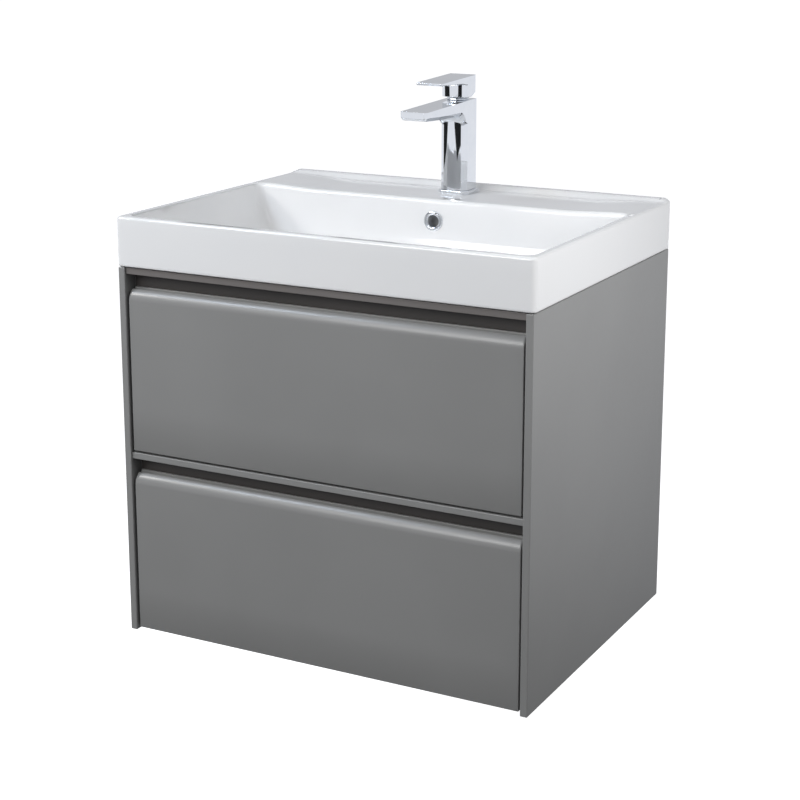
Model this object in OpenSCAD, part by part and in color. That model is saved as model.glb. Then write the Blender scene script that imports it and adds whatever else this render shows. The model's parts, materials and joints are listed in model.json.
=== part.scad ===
// Wall-hung bathroom vanity: two-drawer cabinet, one-piece ceramic basin, single-lever mixer.
// Millimetres. +X is right, +Y is towards the wall, +Z is up. The wall is the plane y = 0,
// x = 0 is the centre line, and z = 0 is the bottom edge of the side panels.

/* [Cabinet] */
// Width over the two side panels
cabinet_w = 596; // [480:2:800]
// Height of the side panels
cabinet_h = 510; // [470:5:620]
// Depth from the wall to the side panels' front edges
cabinet_d = 460; // [430:5:560]
// Thickness of the side panels
side_t = 16; // [15:0.5:20]
// Thickness of the lip left at a side panel's front edge
lip_t = 10; // [8:0.5:12]
// Thickness of the bottom panel and of the two back rails
board_t = 16; // [12:0.5:19]
// Height of the bottom panel's underside
base_lift = 6; // [3:1:12]
// Height of the upper back rail, which the hangers' hooks pass through
hanging_rail_h = 90; // [80:5:110]
// Space behind the upper back rail for the hooks and the wall plates
hanging_gap = 20; // [16:1:26]
// Height of the lower back rail
lower_rail_h = 80; // [50:5:100]

/* [Drawer fronts] */
// Thickness of a drawer front
front_t = 19; // [18:0.5:22]
// How far the fronts sit behind the side panels' front edges
front_inset = 3; // [1:0.5:5]
// Gap between a front and the side panel's lip
front_side_gap = 1.5; // [1:0.25:3]
// Gap under the lower front
bottom_reveal = 4; // [2:0.5:8]
// Height of the dark gap above each front, for the fingers
finger_gap = 17; // [14:0.5:22]
// Height of the strip above the upper front's gap
top_strip_h = 10.5; // [8:0.5:16]
// Height of the strip above the lower front's gap
mid_strip_h = 10; // [8:0.5:16]
// Seam between the middle strip and the upper front
seam = 1.5; // [1:0.25:3]
// Radius of the finger pull's rounded nose
nose_r = 7; // [5:0.5:8]
// Drop of the nose below the front's back lip
nose_drop = 3.5; // [2:0.5:6]
// Width of the finger pull's groove
groove_w = 7; // [5:0.5:8]
// Depth of the groove below the nose
groove_d = 10; // [6:0.5:14]
// Drop of the channel wall below its strip
channel_drop = 35; // [25:1:40]
// Thickness of the channel wall behind the finger gap
channel_t = 12; // [10:0.5:14]

/* [Drawer boxes] */
// Depth of the drawer boxes behind their fronts
box_d = 370; // [320:5:390]
// Thickness of the box sides and backs
box_side_t = 12; // [10:0.5:16]
// Thickness of the box bottoms
box_bottom_t = 8; // [6:0.5:10]
// Height of the upper box
upper_box_h = 120; // [90:5:130]
// Height of the lower box
lower_box_h = 150; // [100:5:160]
// Height of a box's underside above what it passes over
box_lift = 10; // [6:1:20]
// Clear width of the upper drawer's recess round the trap
recess_w = 154; // [120:2:200]
// Wall of that recess
recess_wall = 8; // [6:0.5:10]
// Gap between the trap and the recess's front wall
recess_gap = 24; // [15:1:40]

/* [Runners] */
// Length of the drawer runners, which is also their travel
runner_l = 350; // [300:10:370]
// Height of the outer rail
runner_h = 45; // [40:1:50]
// Width of a runner, between the side panel and the drawer box
runner_w = 12.7; // [12.7:0.1:14]
// Steel thickness of the rails
rail_t = 1.3; // [1:0.1:1.5]
// Screws that hold each outer rail
rail_screws = 3; // [2:1:4]
// Radius of a runner screw's shank
rail_screw_r = 1.9; // [1.5:0.1:2.2]

/* [Basin] */
// How far the basin overhangs each side panel
basin_overhang = 2; // [0:0.5:6]
// How far the basin overhangs the front edges
basin_front_overhang = 1; // [0:0.5:6]
// Height of the basin's rim above the cabinet
basin_h = 66; // [60:1:110]
// Thickness of the rim at the sides
rim_side = 12; // [10:0.5:20]
// Thickness of the rim at the front
rim_front = 14; // [10:0.5:24]
// Depth of the tap deck, from the wall to the bowl
deck_d = 130; // [120:1:150]
// Drop of the deck below the rim
deck_drop = 3; // [1:0.5:6]
// Thickness of the deck
deck_t = 10; // [8:0.5:14]
// Height of the upstand along the wall, above the rim
upstand_h = 4; // [2:0.5:12]
// Depth of the upstand
upstand_d = 14; // [10:0.5:20]
// Depth of the bowl below the rim
bowl_depth = 110; // [95:1:120]
// Thickness of the bowl's shell
bowl_t = 9; // [7:0.5:12]
// Radius of the basin's outer corners
basin_corner_r = 9; // [4:0.5:20]
// Radius of the waste hole in the bowl's floor
waste_hole_r = 22.5; // [21:0.25:24]
// Radius of the overflow hole
overflow_r = 10; // [8:0.5:12]
// Depth of the overflow hole's centre below the rim
overflow_drop = 33; // [26:1:40]
// Distance between the two wall fixing holes
wall_hole_pitch = 280; // [240:10:300]
// Radius of the wall fixing holes
wall_hole_r = 7; // [6:0.5:8]

/* [Waste and trap] */
// Depth of the ceramic round the waste hole
waste_boss_h = 36; // [30:1:40]
// Outer radius of the waste's threaded tube
waste_r = 20.9; // [20.5:0.1:21]
// Bore radius of the waste's tube
waste_bore_r = 17; // [15:0.5:18]
// Length of the waste's tube
waste_l = 72; // [60:2:90]
// Radius of the plug's cap
plug_r = 29; // [27:0.5:31]
// Travel of the plug
plug_travel = 8; // [5:0.5:10]
// Outer radius of the trap's cup
trap_cup_r = 28; // [26:0.5:34]
// Height of the trap's cup
trap_cup_h = 50; // [40:2:60]
// Outer radius of the trap's outlet pipe
outlet_r = 16; // [15:0.5:20]
// Wall of the trap's plastic parts
trap_wall = 2; // [1.5:0.25:3]

/* [Tap] */
// Distance from the wall to the tap's axis
tap_back = 57; // [50:1:70]
// Width of the tap's body and spout
tap_w = 41; // [34:1:50]
// Depth of the tap's body
tap_body_d = 35; // [32:1:42]
// Height of the spout's top above the deck, at the body
tap_h = 133; // [110:1:170]
// Distance from the tap's axis to the spout's tip
tap_reach = 138; // [100:2:180]
// Thickness of the spout at its tip
spout_tip_t = 11; // [10:0.5:16]
// Thickness of the spout near the body
spout_root_t = 20; // [16:0.5:30]
// How much lower the spout's top is at its tip
spout_fall = 5.5; // [0:0.5:12]
// Height of the lever's top above the spout, at the back
lever_h = 33.5; // [30:0.5:44]
// Distance from the tap's axis to the lever's tip
lever_reach = 91; // [70:1:120]
// Thickness of the lever's plate at its tip
lever_tip_t = 3.5; // [3:0.25:6]
// Gap between the tap's body and the lever
lever_gap = 3.5; // [3:0.25:5]
// Radius of the tap's hole in the deck
tap_hole_r = 17.5; // [16:0.5:18]
// Radius of the cartridge
cartridge_r = 12.5; // [11:0.5:13]
// Radius of the two threaded inlets
inlet_r = 4.8; // [4.5:0.1:5]
// Radius of the spout's outlet fitting
aerator_r = 9; // [8:0.25:10]

/* [Hidden] */
$fn = 64;
eps = 0.01;

lacquer = "#7f7f81";
dark_lacquer = "#5a5856";
steel = "#b9bcc0";
chrome = "#d9dde2";
ceramic = "#f4f4f4";
plastic_white = "#e9e9e6";
box_board = "#8c8d8e";
rubber = "#2b2b2b";

// Carcass
inner_w = cabinet_w - 2 * side_t;
lip_inner_w = cabinet_w - 2 * lip_t;
front_face_y = -cabinet_d + front_inset;
front_back_y = front_face_y + front_t;
channel_gap = 2;
channel_y = front_back_y + channel_gap;
base_top_z = base_lift + board_t;
hanging_rail_z = cabinet_h - 20 - hanging_rail_h;
hanging_rail_y = -hanging_gap - board_t;

// Drawer fronts
front_w = lip_inner_w - 2 * front_side_gap;
front_h = (cabinet_h - bottom_reveal - 2 * finger_gap - mid_strip_h - seam - top_strip_h) / 2;
lower_front_z = bottom_reveal;
mid_strip_z = lower_front_z + front_h + finger_gap;
upper_front_z = mid_strip_z + mid_strip_h + seam;
top_strip_z = cabinet_h - top_strip_h;
groove_x = nose_r + 1;

// Drawer boxes and runners
box_w = inner_w - 2 * runner_w;
box_back_y = front_back_y + box_d;
upper_box_z = upper_front_z + box_lift;
lower_box_z = base_top_z + box_lift;
runner_front_y = channel_y + 2;
runner_rise = runner_h / 2 + 22;
runner_mid_z = [upper_box_z + runner_rise, lower_box_z + runner_rise];
bottom_inset = 6;
screw_head_r = 3.2;
screw_head_t = 1;
screw_l = 12;
screw_end = 30;

// Basin
basin_half_w = cabinet_w / 2 + basin_overhang;
basin_front_y = -cabinet_d - basin_front_overhang;
rim_z = cabinet_h + basin_h;
deck_z = rim_z - deck_drop;
floor_z = rim_z - bowl_depth;
bowl_half_w = basin_half_w - rim_side;
bowl_front_y = basin_front_y + rim_front;
bowl_back_y = -deck_d;
bowl_mid_y = (bowl_front_y + bowl_back_y) / 2;
waste_y = bowl_mid_y;
carcass_clear = 2.5;
// Half width and front edge of the bowl's inside where it drops between the carcass boards
bowl_low_half_w = inner_w / 2 - carcass_clear - bowl_t;
bowl_low_front_y = channel_y + channel_t + carcass_clear + bowl_t;
floor_flat_r = 40;
duct_half_w = 20;
duct_t = 10;
duct_shell = 7;
overflow_z = rim_z - overflow_drop;

// Waste and trap
flange_t = 2.5;
flange_r = 32;
boss_under_z = floor_z - waste_boss_h;
waste_end_z = floor_z - waste_l;
spider_t = 4;
spider_z = floor_z - 22;
stem_r = 4;
stem_clear = 0.06;
seal_t = 4;
waste_nut_h = 9;
waste_nut_r = 29;
inlet_nut_h = 22;
trap_head_h = 34;
trap_head_top_z = waste_end_z - 2;
trap_head_z = trap_head_top_z - trap_head_h;
trap_cup_z = trap_head_z - trap_cup_h;
outlet_z = trap_head_z + trap_head_h / 2;
arm_r = outlet_r - trap_wall - 0.5;
arm_l = 46;
outlet_nut_l = 22;
recess_front_y = waste_y - trap_cup_r - recess_gap;
recess_half_w = recess_w / 2;

// Tap, heights above the deck
tap_y = -tap_back;
tap_base_h = 5;
tap_base_margin = 3.5;
tap_bevel = 7;
collar_r = 16;
collar_h = 2;
cartridge_l = 28;
lever_z = deck_z + tap_h + lever_gap;
pivot_z = lever_z + 9;
pin_r = 2;
pin_clear = 0.05;
pin_l = 30;
stem_half = 5;
stud_r = 3;
stud_y = tap_y + 10;
inlet_x = 9;
inlet_y = tap_y - 4;
aerator_y = tap_y - tap_reach + 14;
aerator_h = 6;
deck_under_z = deck_z - deck_t;
washer_r = 23;
washer_t = 3;

// ---- Helpers ----

// A plate with rounded corners between two corners, from z0 up by h
module rounded_plate(x0, y0, x1, y1, r, z0, h) {
  translate([0, 0, z0]) linear_extrude(h) {
    translate([x0 + r, y0]) square([x1 - x0 - 2 * r, y1 - y0]);
    translate([x0, y0 + r]) square([x1 - x0, y1 - y0 - 2 * r]);
    for (x = [x0 + r, x1 - r], y = [y0 + r, y1 - r]) translate([x, y]) circle(r);
  }
}

// A box given by its two corners
module block(lo, hi) {
  translate(lo) cube(hi - lo);
}

// A profile drawn as depth against height, carried along X and centred on x = 0
module along_x(w) {
  translate([-w / 2, 0, 0]) rotate([90, 0, 90]) linear_extrude(w) children();
}

// A cylinder along +Y from y0
module rod_y(x, y0, z, r, l) {
  translate([x, y0, z]) rotate([-90, 0, 0]) cylinder(r = r, h = l);
}

// A cylinder along X centred on x
module rod_x(x, y, z, r, l) {
  translate([x, y, z]) rotate([0, 90, 0]) cylinder(r = r, h = l, center = true);
}

module tube(r_out, r_in, h) {
  difference() {
    cylinder(r = r_out, h = h);
    translate([0, 0, -1]) cylinder(r = r_in, h = h + 2);
  }
}

// ---- Carcass ----

// Places of the cam fittings: [x side, y, z of the panel's middle, true if the panel lies flat]
cam_inset = 34;
cam_r = 7.5;
cam_depth = 10;
cam_bolt_r = 3.5;
cam_bolt_in = 10;
flat_cam_y = [-cabinet_d + 90, -90];
rail_cam_z = [hanging_rail_z + 14, hanging_rail_z + 40];
base_mid_z = base_lift + board_t / 2;
rail_mid_y = hanging_rail_y + board_t / 2;

module cam_bolt_rods() {
  l = cam_inset - cam_r + cam_bolt_in;
  for (s = [-1, 1]) {
    x = s * (inner_w / 2 - (cam_inset - cam_r) + l / 2);
    for (y = flat_cam_y) rod_x(x, y, base_mid_z, cam_bolt_r, l);
    for (z = rail_cam_z) rod_x(x, rail_mid_y, z, cam_bolt_r, l);
  }
}

module cam_discs(extra = 0) {
  for (s = [-1, 1]) {
    x = s * (inner_w / 2 - cam_inset);
    for (y = flat_cam_y) translate([x, y, base_lift - extra]) cylinder(r = cam_r, h = cam_depth + extra);
    for (z = rail_cam_z) rod_y(x, hanging_rail_y - extra, z, cam_r, cam_depth + extra);
  }
}

function rail_screw_y(i) =
  runner_front_y + screw_end + i * (runner_l - 2 * screw_end) / (rail_screws - 1);

module rail_screw_shanks() {
  for (s = [-1, 1], z = runner_mid_z, i = [0:rail_screws - 1])
    rod_x(s * (inner_w / 2 - rail_t / 2 + screw_l / 2), rail_screw_y(i), z, rail_screw_r, screw_l + rail_t);
}

module side_panel(s) {
  x0 = min(s * inner_w / 2, s * cabinet_w / 2);
  rebate = side_t - lip_t;
  rx = min(s * inner_w / 2, s * lip_inner_w / 2);
  difference() {
    block([x0, -cabinet_d, 0], [x0 + side_t, 0, cabinet_h]);
    block([rx, -cabinet_d - 1, -1], [rx + rebate, channel_y, cabinet_h + 1]);
    cam_bolt_rods();
    rail_screw_shanks();
    hanger_screws();
  }
}
module side_left() { color(lacquer) side_panel(-1); }
module side_right() { color(lacquer) side_panel(1); }

module bottom_panel() {
  color(lacquer) difference() {
    block([-inner_w / 2, channel_y, base_lift], [inner_w / 2, -board_t, base_top_z]);
    cam_discs(1);
    cam_bolt_rods();
  }
}

// A strip level with the fronts, and the channel wall behind the finger gap
module channel_rail(z, h) {
  along_x(lip_inner_w) translate([front_face_y, z]) square([channel_y - front_face_y, h]);
  along_x(inner_w) translate([channel_y, z - channel_drop]) square([channel_t, h + channel_drop]);
}
module top_rail() { color(dark_lacquer) channel_rail(top_strip_z, top_strip_h); }
module mid_rail() { color(dark_lacquer) channel_rail(mid_strip_z, mid_strip_h); }

module lower_back_rail() {
  color(lacquer) block([-inner_w / 2, -board_t, 0], [inner_w / 2, 0, lower_rail_h]);
}

hook_x = inner_w / 2 - 50;
hook_z = cabinet_h - 44;
hook_w = 22;
hook_slot_w = 30;
hook_slot_h = 30;
hanger_w = 28;
hanger_h = 70;
hanger_d = 34;
hanger_screw_r = 2.2;

module hanging_rail() {
  color(lacquer) difference() {
    block([-inner_w / 2, hanging_rail_y, hanging_rail_z],
          [inner_w / 2, hanging_rail_y + board_t, hanging_rail_z + hanging_rail_h]);
    for (s = [-1, 1])
      translate([s * hook_x - hook_slot_w / 2, hanging_rail_y - 1, hook_z - hook_slot_h / 2])
        cube([hook_slot_w, board_t + 2, hook_slot_h]);
    cam_discs(1);
    cam_bolt_rods();
  }
}

module cam_locks() {
  color(steel) difference() {
    cam_discs();
    cam_bolt_rods();
  }
}
module cam_bolts() { color(steel) cam_bolt_rods(); }

// Screws that hold the hanger cases to the side panels
module hanger_screws(extra = 0) {
  l = 14;
  for (s = [-1, 1], z = [hook_z - 24, hook_z + 24])
    rod_x(s * (inner_w / 2 - hanger_plate_t - 1 + l / 2), hanging_rail_y - hanger_d / 2, z,
          hanger_screw_r + extra, l);
}

// Each hanger is a plate on the side panel with a case that guides the hook
hanger_plate_t = 2;
module hangers() {
  color(plastic_white) for (s = [-1, 1]) {
    x_side = s * inner_w / 2;
    x_plate = x_side - s * hanger_plate_t;
    x_case = s * (hook_x - hanger_w / 2);
    difference() {
      union() {
        block([min(x_side, x_plate), hanging_rail_y - hanger_d, hook_z - hanger_h / 2],
              [max(x_side, x_plate), hanging_rail_y, hook_z + hanger_h / 2]);
        block([min(x_side, x_case), hanging_rail_y - hanger_d, hook_z - hook_slot_h / 2],
              [max(x_side, x_case), hanging_rail_y, hook_z + hook_slot_h / 2]);
      }
      translate([s * hook_x - hook_w / 2 - 0.5, hanging_rail_y - hanger_d + 3, hook_z - 8])
        cube([hook_w + 1, hanger_d, 16]);
      hanger_screws(0.1);
    }
  }
  color(steel) hanger_screws();
}

plate_t = 2.5;
plate_w = 60;
plate_h = 52;
plate_hole_r = 2.75;
plate_hole_pitch = 20;
hook_t = 3;
hook_drop = 10;
hook_tip_y = -plate_t - 0.5;

// A steel strap from the case through the rail, turned down behind the wall plate's tab
module hanger_hooks() {
  color(steel) for (s = [-1, 1]) translate([s * hook_x - hook_w / 2, 0, hook_z]) {
    block([0, hanging_rail_y - hanger_d + 8, 0], [hook_w, hook_tip_y, hook_t]);
    block([0, hook_tip_y - hook_t, -hook_drop], [hook_w, hook_tip_y, 0]);
  }
}

// Flat on the wall, with a shelf and an upturned tab in front for the hook
module wall_plates() {
  tab_y = hook_tip_y - hook_t - 0.5;
  color(steel) for (s = [-1, 1]) translate([s * hook_x, 0, hook_z - hook_drop - 1]) difference() {
    union() {
      block([-plate_w / 2, -plate_t, -plate_h], [plate_w / 2, 0, 8]);
      block([-plate_w / 2, tab_y - plate_t, -plate_t], [plate_w / 2, -plate_t, 0]);
      block([-plate_w / 2, tab_y - plate_t, 0], [plate_w / 2, tab_y, hook_drop - 1]);
    }
    for (z = [-plate_h / 2 - plate_hole_pitch / 2, -plate_h / 2 + plate_hole_pitch / 2])
      rod_y(0, -plate_t - 1, z, plate_hole_r, plate_t + 2);
  }
}

// ---- Basin ----

// One level of the bowl: half width, front, back, corner radius, height, outward growth
module bowl_level(half_w, y0, y1, r, z, grow) {
  rounded_plate(-half_w - grow, y0 - grow, half_w + grow, y1 + grow, r, z, eps, $fn = 32);
}

bowl_top_r = 12;
bowl_low_r = 34;
floor_r = 60;
// The inside of the bowl: nearly upright walls, a soft turn, and a floor that falls to the waste
module bowl_inside() {
  hull() {
    bowl_level(bowl_half_w, bowl_front_y, bowl_back_y, bowl_top_r, rim_z + upstand_h + 1, 0);
    bowl_level(bowl_half_w - 2, bowl_front_y + 18, bowl_back_y - 2, bowl_top_r + 4, cabinet_h + 16, 0);
    bowl_level(bowl_low_half_w, bowl_low_front_y, bowl_back_y - 4, bowl_low_r, cabinet_h - 4, 0);
    bowl_level(bowl_low_half_w - 8, bowl_low_front_y + 8, bowl_back_y - 12, bowl_low_r + 10,
               cabinet_h - 22, 0);
    bowl_level(bowl_low_half_w - 34, bowl_low_front_y + 30, bowl_back_y - 34, floor_r, floor_z + 5, 0);
    translate([0, waste_y, floor_z]) cylinder(r = floor_flat_r, h = eps, $fn = 32);
  }
}

// The same form one shell thickness larger, from the cabinet's top edge down
module bowl_outside() {
  hull() {
    bowl_level(bowl_low_half_w, bowl_low_front_y, bowl_back_y - 2, bowl_low_r, cabinet_h, bowl_t);
    bowl_level(bowl_low_half_w - 6, bowl_low_front_y + 6, bowl_back_y - 8, bowl_low_r + 6,
               cabinet_h - 22, bowl_t);
    bowl_level(bowl_low_half_w - 34, bowl_low_front_y + 30, bowl_back_y - 34, floor_r,
               floor_z + 5 - bowl_t, bowl_t);
    translate([0, waste_y, floor_z - bowl_t]) cylinder(r = floor_flat_r + 6, h = eps, $fn = 32);
  }
}

module basin() {
  color(ceramic) difference() {
    union() {
      difference() {
        union() {
          rounded_plate(-basin_half_w, basin_front_y, basin_half_w, 0, basin_corner_r,
                        cabinet_h, basin_h);
          block([-basin_half_w + basin_corner_r, -upstand_d, cabinet_h],
                [basin_half_w - basin_corner_r, 0, rim_z + upstand_h]);
        }
        block([-bowl_half_w, bowl_back_y - 30, deck_z], [bowl_half_w, -upstand_d, rim_z + 1]);
        block([-bowl_half_w, bowl_back_y + bowl_t, cabinet_h - 1],
              [bowl_half_w, -rim_side, deck_under_z]);
      }
      bowl_outside();
      duct_case();
    }
    bowl_inside();
    overflow_ways();
    translate([0, waste_y, boss_under_z - 1]) cylinder(r = waste_hole_r, h = waste_boss_h + 2);
    translate([0, tap_y, deck_under_z - 1]) cylinder(r = tap_hole_r, h = deck_t + 2);
    for (s = [-1, 1])
      rod_y(s * wall_hole_pitch / 2, -rim_side - 1, cabinet_h + 30, wall_hole_r, rim_side + 2);
  }
}

// The overflow's way: down behind the bowl, then forward under its floor to the waste hole
duct_front_y = bowl_back_y + duct_shell;
duct_back_y = duct_front_y + duct_t;
duct_foot_z = boss_under_z + duct_shell;
duct_foot_h = 14;
module duct_case() {
  x = duct_half_w + duct_shell;
  block([-x, bowl_back_y - 6, boss_under_z], [x, duct_back_y + duct_shell, deck_under_z]);
  block([-x, waste_y, boss_under_z], [x, bowl_back_y, duct_foot_z + duct_foot_h + duct_shell]);
  translate([0, waste_y, boss_under_z]) cylinder(r = waste_hole_r + 14, h = waste_boss_h - 1);
}
module overflow_ways() {
  rod_y(0, bowl_back_y - 8, overflow_z, overflow_r, 8 + duct_shell + 2);
  block([-duct_half_w, duct_front_y, duct_foot_z],
        [duct_half_w, duct_back_y, overflow_z + overflow_r + 4]);
  block([-duct_half_w / 2, waste_y, duct_foot_z],
        [duct_half_w / 2, duct_front_y + 1, duct_foot_z + duct_foot_h]);
}

module overflow_ring() {
  color(chrome) translate([0, bowl_back_y - 4.6, overflow_z]) rotate([-90, 0, 0]) difference() {
    union() {
      cylinder(r = overflow_r + 4.5, h = 2);
      cylinder(r = overflow_r - 0.3, h = 10);
    }
    translate([0, 0, -1]) cylinder(r = overflow_r - 1.8, h = 12);
  }
}

// ---- Waste ----

module waste_body() {
  color(chrome) translate([0, waste_y, 0]) {
    difference() {
      union() {
        translate([0, 0, floor_z + eps]) cylinder(r = flange_r, h = flange_t);
        translate([0, 0, waste_end_z]) cylinder(r = waste_r, h = waste_l + 1);
      }
      translate([0, 0, waste_end_z - 1]) cylinder(r = waste_bore_r, h = waste_l + flange_t + 2);
      block([-7, 0, duct_foot_z + 1], [7, waste_r + 1, duct_foot_z + duct_foot_h - 1]);
    }
    difference() {
      union() {
        translate([0, 0, spider_z]) cylinder(r = stem_r + 3, h = spider_t);
        for (a = [0, 90]) rotate(a) block([-waste_bore_r - 1, -1.5, spider_z],
                                          [waste_bore_r + 1, 1.5, spider_z + spider_t]);
      }
      translate([0, 0, spider_z - 1]) cylinder(r = stem_r + stem_clear, h = spider_t + 2);
    }
  }
}

module waste_seal() {
  color(rubber) translate([0, waste_y, boss_under_z - seal_t])
    tube(waste_nut_r + 1, waste_r + 0.1, seal_t);
}

module waste_nut() {
  color(plastic_white) translate([0, waste_y, boss_under_z - seal_t - waste_nut_h]) difference() {
    cylinder(r = waste_nut_r, h = waste_nut_h, $fn = 8);
    translate([0, 0, -1]) cylinder(r = waste_r + 0.1, h = waste_nut_h + 2);
  }
}

plug_gap = 0.8;
plug_t = 4;
module waste_plug() {
  color(chrome) translate([0, waste_y, 0]) {
    translate([0, 0, floor_z + flange_t + plug_gap]) cylinder(r = plug_r, h = plug_t);
    translate([0, 0, spider_z - plug_travel - 6])
      cylinder(r = stem_r, h = floor_z + flange_t + plug_gap + 1 - spider_z + plug_travel + 6);
  }
}

// ---- Trap ----

module trap_head() {
  color(plastic_white) translate([0, waste_y, trap_head_z]) difference() {
    union() {
      cylinder(r = trap_cup_r - trap_wall, h = trap_head_h);
      translate([0, 0, trap_head_h / 2]) rotate([-90, 0, 0]) cylinder(r = arm_r, h = arm_l);
    }
    translate([0, 0, -1]) cylinder(r = trap_cup_r - 2 * trap_wall, h = trap_head_h - 3);
    translate([0, 0, 2]) cylinder(r = outlet_r + 0.1, h = trap_head_h);
    translate([0, 0, trap_head_h / 2]) rotate([-90, 0, 0]) cylinder(r = arm_r - trap_wall, h = arm_l + 1);
  }
}

module trap_dip_tube() {
  color(plastic_white) translate([0, waste_y, trap_cup_z + 14])
    tube(outlet_r, outlet_r - trap_wall, trap_head_top_z - trap_cup_z - 14);
}

module trap_cup() {
  color(plastic_white) translate([0, waste_y, trap_cup_z]) difference() {
    union() {
      cylinder(r = trap_cup_r, h = trap_cup_h);
      for (a = [0:30:330]) rotate(a)
        block([trap_cup_r - 1, -2, 2], [trap_cup_r + 1.5, 2, trap_cup_h - 14]);
    }
    translate([0, 0, trap_wall]) cylinder(r = trap_cup_r - trap_wall, h = trap_cup_h);
  }
}

module trap_nuts() {
  color(plastic_white) {
    translate([0, waste_y, trap_head_top_z]) difference() {
      cylinder(r = waste_r + 5, h = inlet_nut_h);
      translate([0, 0, 2]) cylinder(r = waste_r + 0.1, h = inlet_nut_h);
      translate([0, 0, -1]) cylinder(r = waste_bore_r, h = inlet_nut_h);
    }
    translate([0, waste_y + arm_l - outlet_nut_l / 2, outlet_z]) rotate([-90, 0, 0])
      tube(outlet_r + 6, outlet_r + 0.1, outlet_nut_l);
  }
}

module trap_outlet_pipe() {
  y0 = waste_y + trap_cup_r + 4;
  stop_y = waste_y + arm_l + outlet_nut_l / 2 + 2;
  color(plastic_white) difference() {
    union() {
      rod_y(0, y0, outlet_z, outlet_r, -y0);
      rod_y(0, stop_y, outlet_z, outlet_r + 1.5, 3);
    }
    rod_y(0, y0 - 1, outlet_z, arm_r + 0.1, 2 - y0);
  }
}

// ---- Tap ----

// The body's outline: square at the back, bevelled at the front corners
module tap_outline(margin = 0) {
  hw = tap_w / 2 + margin;
  hd = tap_body_d / 2 + margin;
  polygon([[-hw, hd], [-hw, -hd + tap_bevel], [-hw + tap_bevel, -hd], [hw - tap_bevel, -hd],
           [hw, -hd + tap_bevel], [hw, hd]]);
}

module tap_base() {
  color(chrome) translate([0, tap_y, deck_z]) difference() {
    linear_extrude(tap_base_h) tap_outline(tap_base_margin);
    translate([0, 0, -1]) cylinder(r = tap_hole_r - 2, h = tap_base_h + 2);
  }
}

// The spout from the side: depth from the tap's axis against height above the deck
module spout_profile() {
  tip = -tap_reach;
  front = -tap_body_d / 2;
  tip_top = tap_h - spout_fall;
  root_z = tap_h - spout_root_t;
  polygon([[tap_body_d / 2, tap_h], [tip + 2, tip_top], [tip, tip_top - 2],
           [tip + 1, tip_top - spout_tip_t + 1.5], [tip + 8, tip_top - spout_tip_t],
           [front - 18, root_z], [front - 6, root_z - 4], [front, root_z - 13],
           [tap_body_d / 2, root_z - 13]]);
}

module tap_body() {
  color(chrome) difference() {
    union() {
      translate([0, tap_y, deck_z + tap_base_h]) linear_extrude(tap_h - tap_base_h - 20) tap_outline();
      translate([0, tap_y, deck_z]) along_x(tap_w) spout_profile();
    }
    translate([0, tap_y, deck_z + tap_h - cartridge_l])
      cylinder(r = cartridge_r + 0.1, h = cartridge_l + 1);
    translate([0, stud_y, deck_z]) cylinder(r = stud_r, h = tap_base_h + 14);
    for (s = [-1, 1]) translate([s * inlet_x, inlet_y, deck_z]) {
      cylinder(r = inlet_r, h = tap_base_h + 12);
      cylinder(r = inlet_r - 1.3, h = tap_h - cartridge_l + 1);
    }
    translate([0, aerator_y, deck_z + tap_h - spout_fall - spout_tip_t - 3])
      cylinder(r = aerator_r + 0.1, h = aerator_h + 3);
    translate([0, aerator_y, deck_z + tap_h - spout_root_t + 9]) rotate([-90, 0, 0])
      cylinder(r = 3.5, h = tap_y - aerator_y);
  }
}

module tap_aerator() {
  color(chrome) translate([0, aerator_y, deck_z + tap_h - spout_fall - spout_tip_t - 0.4])
    tube(aerator_r, aerator_r - 2, aerator_h);
}

module tap_cartridge() {
  color(plastic_white) translate([0, tap_y, deck_z + tap_h - cartridge_l])
    difference() {
      cylinder(r = cartridge_r, h = cartridge_l - 1);
      translate([0, 0, cartridge_l - 9]) cylinder(r = stem_half + 3.05, h = 10);
    }
}

module tap_collar() {
  color(chrome) translate([0, tap_y, deck_z + tap_h]) tube(collar_r, stem_half + 3.05, collar_h);
}

// The cartridge's turning spindle, with a flat tongue that the lever rocks on
module tap_stem() {
  color(steel) difference() {
    union() {
      translate([0, tap_y, deck_z + tap_h - 8]) cylinder(r = stem_half + 3, h = 8 + collar_h);
      translate([-stem_half, tap_y - stem_half, deck_z + tap_h])
        cube([2 * stem_half, 2 * stem_half, pivot_z + 4 - deck_z - tap_h]);
    }
    rod_x(0, tap_y, pivot_z, pin_r, 4 * stem_half);
  }
}

module tap_pivot_pin() {
  color(steel) rod_x(0, tap_y, pivot_z, pin_r, pin_l);
}

lever_block_front = 16;
lever_back = 15;
lever_back_lift = 5.5;
lever_fall = 4;
lever_cavity_w = 13;
// The lever from the side: a thin plate that thickens into a block over the spindle
module lever_profile() {
  top = lever_h - lever_gap;
  tip_z = top - lever_fall;
  polygon([[lever_back, top], [-lever_reach, tip_z], [-lever_reach, tip_z - lever_tip_t],
           [-lever_block_front - 10, top - 10], [-lever_block_front, 0], [-3, 0],
           [lever_back, lever_back_lift]]);
}
module tap_lever() {
  color(chrome) difference() {
    translate([0, tap_y, lever_z]) along_x(tap_w - 1) lever_profile();
    block([-lever_cavity_w / 2, tap_y - stem_half - 2.5, lever_z - 1],
          [lever_cavity_w / 2, tap_y + lever_back - 2, pivot_z + 7.5]);
    rod_x(0, tap_y, pivot_z, pin_r + pin_clear, pin_l + 1);
  }
}

module tap_stud() {
  color(steel) translate([0, stud_y, deck_under_z - 46])
    cylinder(r = stud_r, h = deck_z + tap_base_h + 14 - deck_under_z + 46);
}

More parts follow.
